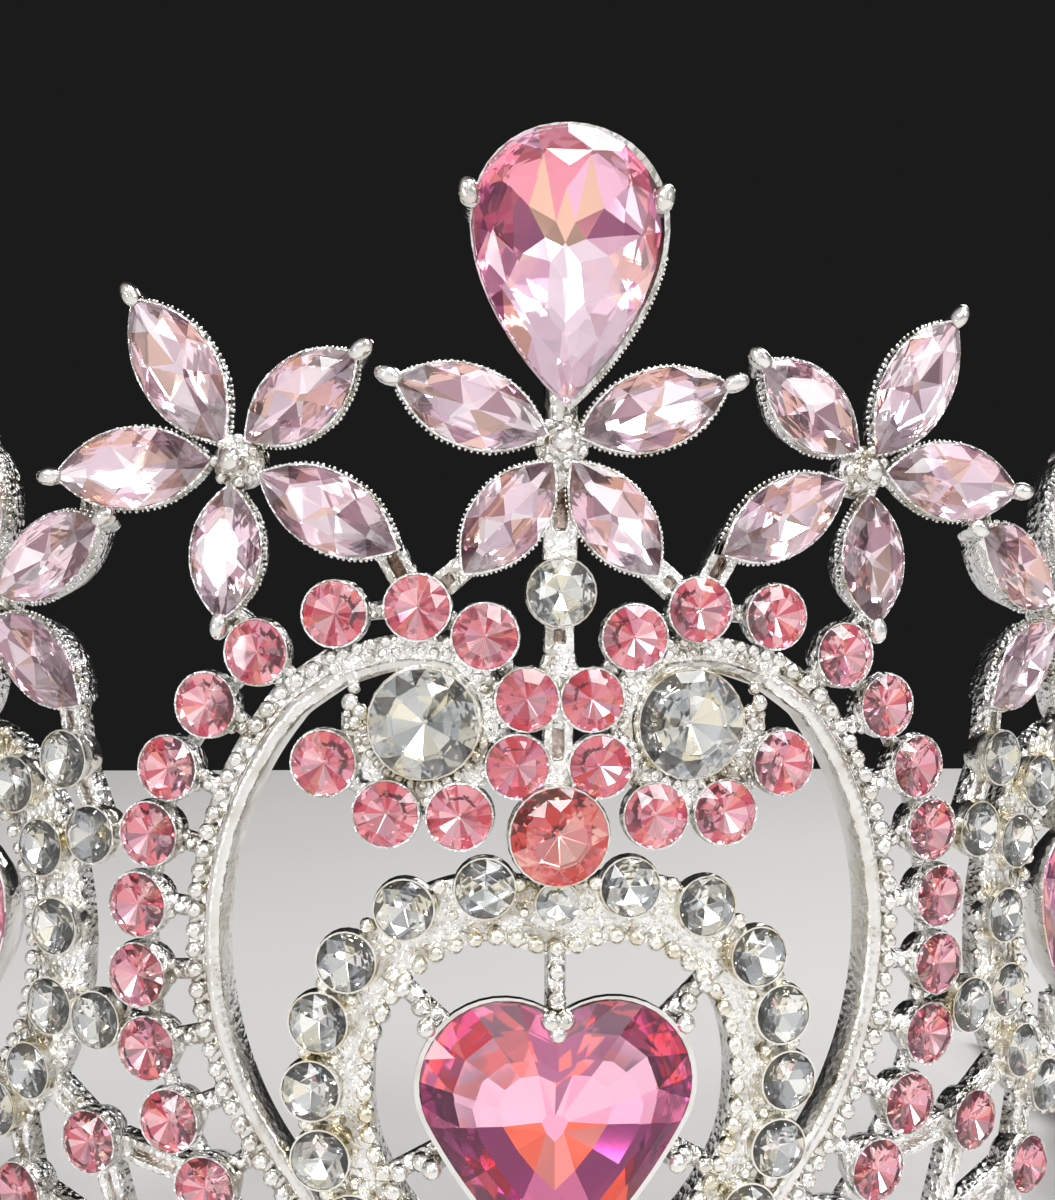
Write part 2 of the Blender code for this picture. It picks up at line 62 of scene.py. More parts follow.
def seat(u, h, out=0.0, turn=0.0):
    """Matrix that puts a piece drawn in millimetres on the crown at u, h and out."""
    angle = u / CROWN_RADIUS
    x, y = math.sin(angle), -math.cos(angle)
    reach = CROWN_RADIUS + out
    place = Matrix(((-y, 0, x, x * reach), (x, 0, y, y * reach + CIRCLE_Y),
                    (0, 1, 0, h), (0, 0, 0, 1)))
    return Matrix.Scale(MM, 4) @ place @ Matrix.Rotation(turn, 4, "Z")


def wrap(piece):
    """Bend a piece that was drawn flat onto the crown."""
    flat = np.zeros(len(piece.data.vertices) * 3)
    piece.data.vertices.foreach_get("co", flat)
    u, h, out = flat.reshape(-1, 3).T
    reach, angle = CROWN_RADIUS + out, u / CROWN_RADIUS
    bent = np.stack([reach * np.sin(angle), CIRCLE_Y - reach * np.cos(angle), h], axis=1)
    piece.data.vertices.foreach_set("co", (bent * MM).ravel())
    piece.data.update()
    return piece


print("front of the crown, in metres:", [round(v, 4) for v in seat(0.0, 0.0).translation])

# %% [markdown]
# ## Hands for the bench
# A few helpers do what a hand does in the viewport: clear the selection, go in and out of
# edit mode, pick faces by their place, and copy a finished shape to where it is needed.

# %% Bench helpers
def clear_hands():
    """Nothing selected, object mode."""
    if bpy.context.object and bpy.context.object.mode != "OBJECT":
        bpy.ops.object.mode_set(mode="OBJECT")
    bpy.ops.object.select_all(action="DESELECT")


def hold(piece):
    """This piece alone in hand."""
    clear_hands()
    bpy.context.view_layer.objects.active = piece
    piece.select_set(True)


def edit(piece=None):
    """Into edit mode with everything selected."""
    if piece:
        hold(piece)
    bpy.ops.object.mode_set(mode="EDIT")
    bpy.ops.mesh.select_all(action="SELECT")


def done():
    """Back to object mode; gives the piece that was worked on."""
    bpy.ops.object.mode_set(mode="OBJECT")
    return bpy.context.object


def pick_faces(piece, test):
    """Select the faces whose centre and normal pass the test, and say how many."""
    bpy.ops.mesh.select_all(action="DESELECT")
    bpy.ops.object.mode_set(mode="OBJECT")
    chosen = [face for face in piece.data.polygons if test(face.center, face.normal)]
    for face in chosen:
        face.select = True
    bpy.ops.object.mode_set(mode="EDIT")
    return len(chosen)


def close_skin(angle=40):
    """Turn every face outward, leave edit mode and shade softly over blunt edges."""
    bpy.ops.mesh.select_all(action="SELECT")
    bpy.ops.mesh.normals_make_consistent(inside=False)
    done()
    bpy.ops.object.shade_smooth_by_angle(angle=math.radians(angle))


def copy_to(shape, matrix, name="copy"):
    """A copy with its own mesh, moved by the matrix."""
    copy = shape.copy()
    copy.data = shape.data.copy()
    copy.name = name
    bpy.context.scene.collection.objects.link(copy)
    copy.data.transform(matrix)
    if matrix.determinant() < 0:
        copy.data.flip_normals()
    return copy


def join(name, pieces):
    """Join pieces into one and name it."""
    hold(pieces[0])
    for piece in pieces:
        piece.select_set(True)
    if len(pieces) > 1:
        bpy.ops.object.join()
    joined = bpy.context.view_layer.objects.active
    joined.name = joined.data.name = name
    return joined


def put_away(*shapes):
    """Remove the shapes that were only copied from."""
    for shape in shapes:
        bpy.data.objects.remove(shape, do_unlink=True)


def own(piece, material, slot, *nodes):
    """Give the piece its finish, its body and the nodes that it stands for."""
    if material:
        piece.data.materials.clear()
        piece.data.materials.append(material)
    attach(piece, "root")
    if nodes:
        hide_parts(*nodes)
    faces = sum(len(face.vertices) - 2 for face in piece.data.polygons)
    print(f"{piece.name}: {faces} triangles")


def metal(name, pieces, finish):
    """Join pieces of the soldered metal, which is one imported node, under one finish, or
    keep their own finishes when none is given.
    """
    own(join(name, pieces), finish, "silver_plate", "frame")


# %% [markdown]
# ## Writing shaders as sums
# A shader that varies needs many small Math nodes, and a chain of them is hard to read.
# Here a Lead is the wire that leaves a node, and Python's own signs add the Math nodes.
# Any other node comes from Finish.add: its kind, its settings, then its sockets.

# %% Leads and finishes
class Lead:
    """A wire from a node's output, with Python's signs for the Math nodes."""

    def __init__(self, finish, socket):
        self.finish, self.socket = finish, socket

    def sign(self, operation, first, second):
        """A Math node on two values or leads."""
        settings = {"operation": operation}
        return self.finish.add("ShaderNodeMath", settings, {0: first, 1: second})

    def __add__(self, other):
        return self.sign("ADD", self, other)

    def __radd__(self, other):
        return self.sign("ADD", other, self)

    def __mul__(self, other):
        return self.sign("MULTIPLY", self, other)

    def __rmul__(self, other):
        return self.sign("MULTIPLY", other, self)


class Finish:
    """One material, or the world behind the scene, built up node by node."""

    def __init__(self, name, kind="materials"):
        self.made = getattr(bpy.data, kind).new(name)
        self.made.use_nodes = True
        self.tree = self.made.node_tree
        self.shader = next(node for node in self.tree.nodes if "OUTPUT" not in node.type)

    def add(self, kind, settings, sockets, output=0):
        """A node with its settings, then its sockets; gives the lead of one output."""
        node = self.tree.nodes.new(kind)
        for key, value in settings.items():
            if key == "stops":
                while len(node.color_ramp.elements) < len(value):
                    node.color_ramp.elements.new(0.5)
                for stop, (position, colour) in zip(node.color_ramp.elements, value):
                    stop.position, stop.color = position, (*colour, 1.0)
            elif key == "interpolation":
                node.color_ramp.interpolation = value
            else:
                setattr(node, key, value)
        self.feed(node, sockets)
        return Lead(self, node.outputs[output])

    def feed(self, node, sockets):
        """Plug leads into a node's sockets, or set their values."""
        for key, value in sockets.items():
            if isinstance(value, Lead):
                self.tree.links.new(value.socket, node.inputs[key])
            else:
                node.inputs[key].default_value = value

    def place(self):
        """Where on the piece a point is, in metres."""
        return self.add("ShaderNodeTexCoord", {}, {}, "Object")

    def end(self, **sockets):
        """Feed the shader and hand over what was made."""
        names = {key.replace("_", " "): value for key, value in sockets.items()}
        self.feed(self.shader, names)
        return self.made


print("signs that add a Math node: + and *")

# %% [markdown]
# ## Bright plated silver
# The metal is a soft white casting, plated and hardly polished: its faces glitter because
# they are grainy, not because they are smooth. Fine noise and pits feed a bump. A broader
# noise moves the roughness a little, and brings in a warmer tint in patches, where the
# plating is thin. The slots of the struts get a darker, browner version: painted shade in
# the sunk slots, along with their tarnish.

# %% Silver finishes
GRAIN_SCALE, PIT_SCALE, PATCH_SCALE = 2600.0, 1900.0, 420.0
GRAIN_DEPTH = 0.00025


def silver(name, grain, rough, colour=(0.92, 0.915, 0.895), low=(0.56, 0.53, 0.47)):
    """Plated cast metal; grain is how strongly the casting shows."""
    finish = Finish(name)
    place = finish.place()
    fine = finish.add("ShaderNodeTexNoise", {}, {"Vector": place, "Scale": GRAIN_SCALE,
                                                 "Detail": 2.0, "Roughness": 0.6})
    pits = finish.add("ShaderNodeTexVoronoi", {"feature": "F1"},
                      {"Vector": place, "Scale": PIT_SCALE})
    broad = finish.add("ShaderNodeTexNoise", {}, {"Vector": place, "Scale": PATCH_SCALE,
                                                  "Detail": 1.0})
    tint = finish.add("ShaderNodeValToRGB", {"stops": [(0.34, low), (0.52, colour)]},
                      {"Fac": broad})
    bump = finish.add("ShaderNodeBump", {}, {"Strength": grain, "Distance": GRAIN_DEPTH,
                                             "Height": fine * 0.6 + pits * 0.8})
    return finish.end(Base_Color=tint, Metallic=1.0, Roughness=broad * 0.16 + rough,
                      Normal=bump)


silver_cast = silver("silver_cast", 0.95, 0.11)
silver_smooth = silver("silver_smooth", 0.26, 0.09, (0.89, 0.88, 0.85), (0.76, 0.73, 0.67))
silver_gilt = silver("silver_gilt", 0.3, 0.12, (0.93, 0.91, 0.85), (0.76, 0.69, 0.52))
# The slot finish, darker and browner: painted shade in the sunk slots, along with their
# tarnish.
silver_shade_and_tarnish = silver("silver_shade_and_tarnish", 0.9, 0.20, (0.66, 0.54, 0.48), (0.26, 0.17, 0.13))
print("silver finishes:", silver_cast.name, silver_smooth.name, silver_gilt.name,
      silver_shade_and_tarnish.name)

# %% [markdown]
# ## Foiled glass
# Each stone is pressed glass with a mirror foil on its back. Light goes in through the
# front facets, turns on the foil and comes out in flashes. So one closed mesh carries two
# finishes: clear tinted glass in front, and a tinted mirror behind. Each back facet takes
# its tint from a number of its own, stored on the face, through a ramp without blending.
# The tints are partly the warm and cold facets of cheap glass, which splits light, and
# partly painted light: the near-white tints are painted flashes, and the dark ones are
# painted shade where facets mirror the dark room. A render follows light for a few turns
# only, so each tint also glows a little: a painted glow where the real stone would still
# be bright.

# %% Stone finishes
TINT_COUNT = 6


def glass(name, colour):
    """The front of a stone."""
    finish = Finish(name)
    place = finish.place()
    wear = finish.add("ShaderNodeTexNoise", {}, {"Vector": place, "Scale": 900.0,
                                                 "Detail": 0.0})
    return finish.end(Base_Color=(*colour, 1.0), Roughness=wear * 0.03 + 0.01,
                      IOR=1.56, Transmission_Weight=1.0)


def foil(name, tints, glows=(0.05,) * TINT_COUNT):
    """The mirror behind a stone, with one tint and one faint painted glow for each facet;
    bright and dark tints are painted flashes and shade.
    """
    finish = Finish(name)
    facet = finish.add("ShaderNodeAttribute", {"attribute_name": "facet"}, {}, "Fac")

    def steps(colours):
        stops = [(i / len(colours), colour) for i, colour in enumerate(colours)]
        settings = {"stops": stops, "interpolation": "CONSTANT"}
        return finish.add("ShaderNodeValToRGB", settings, {"Fac": facet})

    faint = [[part * glow for part in tint] for tint, glow in zip(tints, glows)]
    return finish.end(Base_Color=steps(tints), Metallic=1.0, Roughness=0.05,
                      Emission_Color=steps(faint), Emission_Strength=1.0)


# In each foil list the near-white tints are painted flashes, the dark ones painted shade,
# and the glows painted light.
PALE = (glass("pale_glass", (0.99, 0.92, 0.955)),
        foil("pale_foil", [(0.88, 0.72, 0.76), (0.94, 0.85, 0.87), (0.46, 0.30, 0.35),
                           (0.98, 0.93, 0.95), (0.80, 0.58, 0.50), (0.82, 0.68, 0.76)],
             (0.11, 0.16, 0.05, 0.20, 0.06, 0.11)))
PINK = (glass("pink_glass", (0.97, 0.71, 0.745)),
        foil("pink_foil", [(0.86, 0.42, 0.46), (0.94, 0.64, 0.67), (0.70, 0.19, 0.25),
                           (0.97, 0.78, 0.80), (0.88, 0.42, 0.36), (0.83, 0.54, 0.65)]))
ROSE = (glass("rose_glass", (0.98, 0.70, 0.83)),
        foil("rose_foil", [(0.93, 0.68, 0.78), (0.93, 0.54, 0.69), (0.88, 0.28, 0.50),
                           (0.34, 0.06, 0.22), (0.93, 0.19, 0.10), (0.95, 0.38, 0.30)],
             (0.24, 0.18, 0.10, 0.04, 0.36, 0.20)))
CORAL = (glass("coral_glass", (0.98, 0.73, 0.69)),
         foil("coral_foil", [(0.84, 0.38, 0.36), (0.92, 0.62, 0.59), (0.70, 0.15, 0.15),
                             (0.96, 0.78, 0.74), (0.86, 0.40, 0.30), (0.82, 0.42, 0.46)]))
DROP = (glass("drop_glass", (0.98, 0.83, 0.895)),
        foil("drop_foil", [(0.95, 0.62, 0.78), (0.96, 0.80, 0.88), (0.44, 0.14, 0.28),
                           (0.95, 0.87, 0.93), (0.94, 0.66, 0.48), (0.92, 0.38, 0.46)],
             (0.16, 0.24, 0.04, 0.32, 0.14, 0.12)))
CLEAR = (glass("clear_glass", (0.99, 0.985, 0.96)),
         foil("clear_foil", [(0.66, 0.66, 0.65), (0.97, 0.97, 0.95), (0.20, 0.195, 0.19),
                             (0.90, 0.90, 0.88), (0.86, 0.82, 0.70), (0.58, 0.60, 0.62)]))
print("stone finishes:", ", ".join(front.name for front, back in
                                   (PALE, PINK, ROSE, CORAL, DROP, CLEAR)))

# %% [markdown]
# ## Cutting a stone
# A cut stone is a set of points with flat faces drawn tightly over them, which is what a
# convex hull is. So a stone starts as a few rings of points: the wide girdle, the flat
# table on top and the pointed back. Every other ring is turned by half a step, and that
# gives the kites and triangles. The rings can be squeezed to a boat or a drop before the
# hull is drawn. Faces that lie in one plane are then merged into one facet.

# %% Cut one stone
FRONT_LEAST = 0.3


def squeeze(piece, outline, middle=0.0):
    """Make the unit circle the outline, with smaller rings drawn toward y = middle."""
    for vertex in piece.data.vertices:
        reach = math.hypot(vertex.co.x, vertex.co.y)
        if reach > 0.0001:
            x, y = outline(math.atan2(vertex.co.y, vertex.co.x))
            vertex.co.x, vertex.co.y = x * reach, y * reach + middle * (1 - reach)


def cut_stone(name, rings, outline, finishes, half=False, seed=1, middle=0.0):
    """Rings are (radius, height, points, turned by half a step), shaped by the outline."""
    clear_hands()
    for index, (radius, height, points, turned) in enumerate(rings):
        turn = math.pi / points if turned else 0.0
        bpy.ops.mesh.primitive_circle_add(vertices=points, radius=radius,
                                          location=(0, 0, height), rotation=(0, 0, turn))
        if index == 0:
            bpy.ops.object.transform_apply()
            bpy.ops.object.mode_set(mode="EDIT")
    bpy.ops.mesh.select_all(action="DESELECT")
    stone = done()
    if half:
        for vertex in stone.data.vertices:
            vertex.select = vertex.co.x < -0.001
        bpy.ops.object.mode_set(mode="EDIT")
        bpy.ops.mesh.delete(type="VERT")
        done()
    squeeze(stone, outline, middle)
    edit(stone)
    bpy.ops.mesh.convex_hull(join_triangles=False)
    bpy.ops.mesh.select_all(action="SELECT")
    bpy.ops.mesh.dissolve_limited(angle_limit=math.radians(1.0))
    if half:
        pick_faces(stone, lambda centre, normal: normal.x < -0.99 and centre.x < 0.01)
        bpy.ops.mesh.delete(type="FACE")
    done()
    if half:
        mirror = stone.modifiers.new("other half", "MIRROR")
        mirror.merge_threshold = 0.002
        hold(stone)
        bpy.ops.object.modifier_apply(modifier=mirror.name)
    edit(stone)
    bpy.ops.mesh.normals_make_consistent(inside=False)
    done()
    bpy.ops.object.shade_flat()
    for finish in finishes:
        stone.data.materials.append(finish)
    rng = random.Random(seed)
    facet = stone.data.attributes.new("facet", "FLOAT", "FACE")
    for face in stone.data.polygons:
        facet.data[face.index].value = rng.random()
        face.material_index = 1 if face.normal.z < FRONT_LEAST else 0
    stone.name = name
    return stone


def tint_by_place(stone, rule):
    """Give each facet the tint whose number the rule picks for its place."""
    facet = stone.data.attributes["facet"]
    for face in stone.data.polygons:
        tint = rule(face.center.x, face.center.y)
        facet.data[face.index].value = (tint + 0.5) / TINT_COUNT


def round_line(radius):
    """A circle of this radius."""
    return lambda a: (radius * math.cos(a), radius * math.sin(a))


def boat_line(length, width):
    """A pointed oval along X."""
    return lambda a: (math.cos(a) * length / 2,
                      math.copysign(1 - abs(math.cos(a)) ** 2.3, math.sin(a)) * width / 2)


def drop_line(half_length, half_width):
    """A drop with its point down."""
    def line(a):
        t = -(a + math.pi / 2)
        return (-half_width / 0.808 * math.sin(t) * abs(math.sin(t / 2)) ** 0.8,
                -half_length * math.cos(t))
    return line


HEART_TIP, HEART_LOBE, HEART_LOBE_RADIUS, LOBE_SHARE = 18.0, (3.7, 31.3), 5.5, 0.62


def heart_line(grow=0.0):
    """The right half of a plump heart, about the middle of its lobes."""
    lobe, radius = HEART_LOBE[0], HEART_LOBE_RADIUS + grow
    tip = HEART_TIP - HEART_LOBE[1] - grow * 1.4
    start, end = math.acos(-lobe / radius), math.radians(-28.0)
    corner = (lobe + radius * math.cos(end), radius * math.sin(end))
    pull = (corner[0] * 0.62, tip + (corner[1] - tip) * 0.42)

    def line(a):
        s = (math.pi / 2 - a) / math.pi
        if s < LOBE_SHARE:
            turn = start + (end - start) * s / LOBE_SHARE
            return (max(0.0, lobe + radius * math.cos(turn)), radius * math.sin(turn))
        t = (s - LOBE_SHARE) / (1 - LOBE_SHARE)
        flank = [c * (1 - t) ** 2 + p * 2 * t * (1 - t) for c, p in zip(corner, pull)]
        return (flank[0], flank[1] + tip * t * t)
    return line


print("dip of the heart, from the middle of its lobes:",
      [round(v, 2) for v in heart_line()(math.pi / 2)])

# %% [markdown]
# ## Round stones
# The small rounds are the cheapest cut: an eight-sided table, a plain row of facets round
# it and an eight-rayed back. The bigger ones carry a second row. They are cut once at
# their own size, and each copy is turned at random, because a setter drops them in
# without looking, and that is why no two flash alike.

# %% Cut the round stones
def plain_cut(radius):
    """A small round: table, girdle, back."""
    return ((0.62, radius * 0.32, 8, True), (1.0, 0.0, 16, False),
            (1.0, radius * -0.05, 16, False), (0.02, radius * -0.38, 8, True))


def full_cut(radius, sides=8):
    """A bigger round, with a second row of facets in front and behind."""
    return ((0.56, radius * 0.29, sides, True), (0.82, radius * 0.155, sides, False),
            (1.0, 0.0, 2 * sides, False), (1.0, radius * -0.06, 2 * sides, False),
            (0.60, radius * -0.24, sides, True), (0.03, radius * -0.42, sides, False))


ROUNDS = {
    "pink": cut_stone("pink", plain_cut(2.2), round_line(2.2), PINK, seed=3),
    "pair": cut_stone("pair", plain_cut(2.1), round_line(2.1), PINK, seed=8),
    "clear": cut_stone("clear", full_cut(2.0, 6), round_line(2.0), CLEAR, seed=5),
    "small": cut_stone("small", plain_cut(1.45), round_line(1.45), CLEAR, seed=6),
    "stem": cut_stone("stem", full_cut(2.25), round_line(2.25), CLEAR, seed=4),
    "big": cut_stone("big", full_cut(3.7, 11), round_line(3.7), CLEAR, seed=2),
    "coral": cut_stone("coral", full_cut(3.3, 10), round_line(3.3), CORAL, seed=9),
}
for name, stone in ROUNDS.items():
    print(name, len(stone.data.polygons), "facets")

# %% [markdown]
# ## Setting the round stones
# The table below is the setter's list for the middle of the tiara: which stone goes where
# on the right half. The left half mirrors it.

# %% Set the rounds of the middle
GIRDLE_OUT = 0.35
CLUSTER = {
    "top_1": (15.2, 62.6), "top_2": (9.6, 63.1), "top_3": (5.05, 61.2),
    "heart_1": (2.2, 57.0), "heart_2": (2.8, 52.5),
    "drop_1": (15.9, 52.5), "drop_2": (11.6, 49.2), "drop_3": (6.65, 49.1),
}
BIG_CLEAR, CORAL_SPOT, SMALL_CLEAR = (9.1, 55.3), (0.0, 47.9), (0.0, 64.2)
SIDES = ((-1, "left"), (1, "right"))
turns = random.Random(11)


def kind_of(node):
    """Which stone a node holds: the two pairs beside the stem are a little smaller."""
    return "pair" if node.startswith("heart") else "pink"


def set_round(kind, u, h, out=GIRDLE_OUT, name="stone"):
    """One stone in its place, turned at random."""
    return copy_to(ROUNDS[kind], seat(u, h, out, turns.uniform(0.0, math.tau)), name)


for side, word in SIDES:
    for node, (u, h) in CLUSTER.items():
        name = f"{node}_{word}"
        own(set_round(kind_of(node), side * u, h, name=name + "_cut"), None, "pink_crystal",
            name)
    name = f"big_clear_{word}"
    own(set_round("big", side * BIG_CLEAR[0], BIG_CLEAR[1], name=name + "_cut"), None,
        "clear_crystal", name)
own(set_round("coral", *CORAL_SPOT, 0.95, "coral_round_cut"), None, "coral_crystal",
    "coral_round")
own(set_round("stem", *SMALL_CLEAR, 0.55, "small_clear_cut"), None, "clear_crystal",
    "small_clear")

# %% [markdown]
# ## The petals
# Twenty-four long stones make five flowers. Each is cut to its own length and width, so
# that the facets keep their shape, and then turned to lie along its petal.

# %% Cut and set the petals
CENTRE_PETALS = {"upper": (1.3, 0.5, 11.0, 3.9, 4.9), "lower": (0.8, -1.6, 6.4, -8.7, 4.5)}
SIDE_PETALS = {
    "outer_high": (0.9, 1.4, 7.4, 10.95, 5.3), "inner_high": (-1.1, 1.5, -8.55, 6.9, 4.9),
    "outer": (1.9, 0.0, 13.3, -0.95, 5.2), "low": (0.2, -1.9, 0.95, -10.6, 4.8),
    "inner_low": (-2.1, -1.0, -11.5, -5.85, 4.8),
}
FAR_PETALS = {
    "inner": (-1.7, 0.8, -12.2, 5.8, 5.1), "inner_low": (-1.4, -1.3, -10.3, -6.9, 4.9),
    "low": (0.7, -1.8, 3.6, -10.6, 4.8), "outer": (2.0, 0.1, 12.6, 1.2, 5.1),
    "high": (0.2, 2.0, 0.9, 12.4, 5.1),
}
FLOWERS = {"centre": ((0.0, 74.3), CENTRE_PETALS), "side": ((22.4, 72.9), SIDE_PETALS),
           "far": ((44.4, 62.9), FAR_PETALS)}
PETAL_CUT = ((0.54, 0.62, 8, True), (0.82, 0.36, 8, False), (1.0, 0.0, 16, False),
             (1.0, -0.12, 16, False), (0.62, -0.58, 8, True), (0.10, -1.00, 4, False))


def petal_places():
    """Each petal's node, length, width and matrix."""
    for kind, (flower, petals) in FLOWERS.items():
        for side, word in SIDES:
            for petal, (x0, y0, x1, y1, width) in petals.items():
                length = math.hypot(x1 - x0, y1 - y0)
                turn = math.atan2(y1 - y0, side * (x1 - x0))
                middle = Matrix.Translation((side * (x0 + x1) / 2, (y0 + y1) / 2, 0.0))
                place = seat(side * flower[0], flower[1]) @ middle
                yield (f"{kind}_petal_{petal}_{word}", length, width,
                       place @ Matrix.Rotation(turn, 4, "Z"))


for count, (node, length, width, place) in enumerate(petal_places()):
    stone = cut_stone(node + "_cut", PETAL_CUT, boat_line(length + 0.45, width + 0.4), PALE,
                      seed=count)
    stone.data.transform(place @ Matrix.Translation((0, 0, GIRDLE_OUT)))
    own(stone, None, "pale_pink_crystal", node)

# %% [markdown]
# ## The drops and the heart
# The top drop is the biggest stone, with three rows of facets. The heart has a notch, so
# no hull can be drawn over it at once: its right half is cut alone, the flat wall in the
# middle is taken away, and a mirror gives the left half.

# %% Cut and set the drops and the heart
PEAR, PEAR_OUT = (0.0, 85.8), 0.8
SIDE_PEAR = (46.7, 38.2)
DROP_CUT = ((0.60, 1.25, 12, False), (0.78, 0.95, 12, True), (0.91, 0.44, 12, False),
            (1.0, 0.0, 24, False), (1.0, -0.2, 24, False), (0.76, -0.82, 12, True),
            (0.48, -1.42, 8, False), (0.22, -1.86, 8, True), (0.03, -2.1, 4, False))
picks = random.Random(7)


def drop_rule(x, y):
    """Painted reflections: rose above, peach across the middle, plum on the left, pale lilac
    below.
    """
    if y > 5.0:
        return picks.choice((0, 5, 0, 5, 5))
    if y > 1.4:
        return 2 if x < -2.4 else picks.choice((2, 0, 5) if x > 2.8 else (4, 5, 4))
    if y > -3.0:
        return picks.choice((2, 0)) if x < -3.6 else picks.choice((3, 1, 3))
    return picks.choice((1, 3, 3, 3, 4))


# The drop's tints by place are a painted pattern of reflections over the glass's own colour.
pear = cut_stone("pear_cut", DROP_CUT, drop_line(9.2, 6.35), DROP, seed=21, middle=1.4)
tint_by_place(pear, drop_rule)
pear.data.transform(seat(*PEAR, PEAR_OUT + GIRDLE_OUT))
own(pear, None, "pink_crystal", "pear")

SIDE_DROP_CUT = ((0.58, 1.1, 12, False), (0.82, 0.68, 12, True), (1.0, 0.0, 24, False),
                 (1.0, -0.15, 24, False), (0.60, -0.9, 12, True), (0.05, -1.5, 4, False))
for side, word in SIDES:
    stone = cut_stone(f"side_pear_{word}_cut", SIDE_DROP_CUT, drop_line(7.4, 5.2), DROP,
                      seed=30 + side)
    stone.data.transform(seat(side * SIDE_PEAR[0], SIDE_PEAR[1], GIRDLE_OUT))
    own(stone, None, "pink_crystal", f"side_pear_{word}")

HEART_CUT = ((0.62, 1.2, 16, False), (0.84, 0.78, 16, False), (1.0, 0.0, 32, False),
             (1.0, -0.2, 32, False), (0.74, -1.1, 16, False), (0.42, -1.9, 16, False),
             (0.10, -2.4, 8, False))
HEART_OUT = 0.6


def heart_rule(x, y):
    """Painted reflections: pale pink above, plum at the sides, orange red toward the point.
    """
    if math.hypot(x, y + 3.2) < 1.3:
        return 1
    if y > -2.8:
        return picks.choice((0, 0, 0, 1)) if abs(x) < 5.6 else picks.choice((2, 3, 2, 1))
    if y > -7.0:
        return picks.choice((4, 5, 4)) if abs(x) < 2.6 else picks.choice((3, 3, 2))
    return picks.choice((4, 5, 2))


# The heart's tints by place are a painted pattern of reflections over the glass's own
# colour.
heart = cut_stone("heart_cut", HEART_CUT, heart_line(), ROSE, half=True, seed=41,
                  middle=-3.4)
tint_by_place(heart, heart_rule)
heart.data.transform(seat(0.0, HEART_LOBE[1], HEART_OUT + GIRDLE_OUT))
own(heart, None, "rose_crystal", "heart")

# %% [markdown]
# ## The small stones of the rows
# Outside the scroll runs a row of pink rounds, round the heart runs a halo of clear ones,
# and clear and pink ones fill the ovals and links at the sides. They are too small to be
# parts of their own, so each row is one piece.

# %% Set the rows
RING_STONES = ((20.7, 59.9), (24.4, 56.2), (27.3, 51.7), (28.8, 47.0), (29.65, 42.0),
               (29.7, 37.0), (28.9, 31.9), (27.1, 27.0), (24.3, 22.6), (20.9, 18.7),
               (17.3, 15.0), (13.5, 11.6), (9.3, 8.6))
HALO_STONES = ((4.9, 44.3), (10.3, 42.8), (14.2, 39.1), (16.1, 34.9), (16.6, 30.2),
               (15.9, 25.5), (13.7, 21.2), (10.4, 17.4), (6.6, 14.1), (2.4, 11.6))
HALO_TOP = (0.0, 43.2)
LINK_CLEAR = ((33.6, 46.6), (36.0, 51.8), (33.1, 33.4))
LINK_PINK = ((33.8, 24.5), (31.0, 16.0), (40.6, 19.4), (52.8, 19.4))
POSTS = ((61.0, 27.0), (71.5, 24.5), (82.0, 19.5), (92.5, 15.0), (103.0, 11.5))
OVAL_COUNT, OVAL_REACH, POST_OUT = 15, (9.9, 14.1), -1.1


def oval_stones(side):
    """Places of the clear stones round a side drop."""
    for i in range(OVAL_COUNT):
        a = math.tau * (i + 0.5) / OVAL_COUNT + math.pi / 2
        yield (side * (SIDE_PEAR[0] + OVAL_REACH[0] * math.cos(a)),
               SIDE_PEAR[1] + OVAL_REACH[1] * math.sin(a))


def both(spots):
    """Each spot on the right, then its mirror image on the left."""
    return [(side * u, h) for side in (1, -1) for u, h in spots]


oval_spots = list(oval_stones(1)) + list(oval_stones(-1))
rows = {
    "ring_stones": ("pink", both(RING_STONES), "pink_crystal"),
    "halo_stones": ("clear", both(HALO_STONES), "clear_crystal"),
    "oval_stones": ("clear", oval_spots, "clear_crystal"),
    "link_clear_stones": ("clear", both(LINK_CLEAR), "clear_crystal"),
    "link_pink_stones": ("pink", both(LINK_PINK), "pink_crystal"),
    "post_stones": ("pink", both(POSTS), "pink_crystal"),
}
for name, (kind, spots, slot) in rows.items():
    out = GIRDLE_OUT + {"post_stones": POST_OUT}.get(name, 0.0 if kind == "pink" else 0.15)
    own(join(name, [set_round(kind, u, h, out) for u, h in spots]), None, slot)
own(set_round("small", *HALO_TOP, 0.4, "halo_top_stone"), None, "clear_crystal")

# %% [markdown]
# ## Cups
# A stone's cup is a thin wall with a floor. It starts as the stone's own outline, a bit
# bigger, filled and raised: up the outside, over the rim and down inside. Every step is
# one extrude and one resize about the middle.

# %% Raise a cup
def raise_cup(outline, points, levels):
    """Draw the outline, fill it and extrude it through levels of (scale, height)."""
    clear_hands()
    bpy.ops.mesh.primitive_circle_add(vertices=points, radius=1.0, fill_type="NGON")
    cup = bpy.context.object
    squeeze(cup, outline)
    edit()
    scale, height = levels[0]
    bpy.ops.transform.resize(value=(scale, scale, 1), center_override=(0, 0, 0))
    bpy.ops.transform.translate(value=(0, 0, height))
    for next_scale, next_height in levels[1:]:
        step = {"value": (0, 0, next_height - height)}
        bpy.ops.mesh.extrude_region_move(TRANSFORM_OT_translate=step)
        ratio = next_scale / scale
        bpy.ops.transform.resize(value=(ratio, ratio, 1),
                                 center_override=(0, 0, next_height))
        scale, height = next_scale, next_height
    close_skin()
    return cup


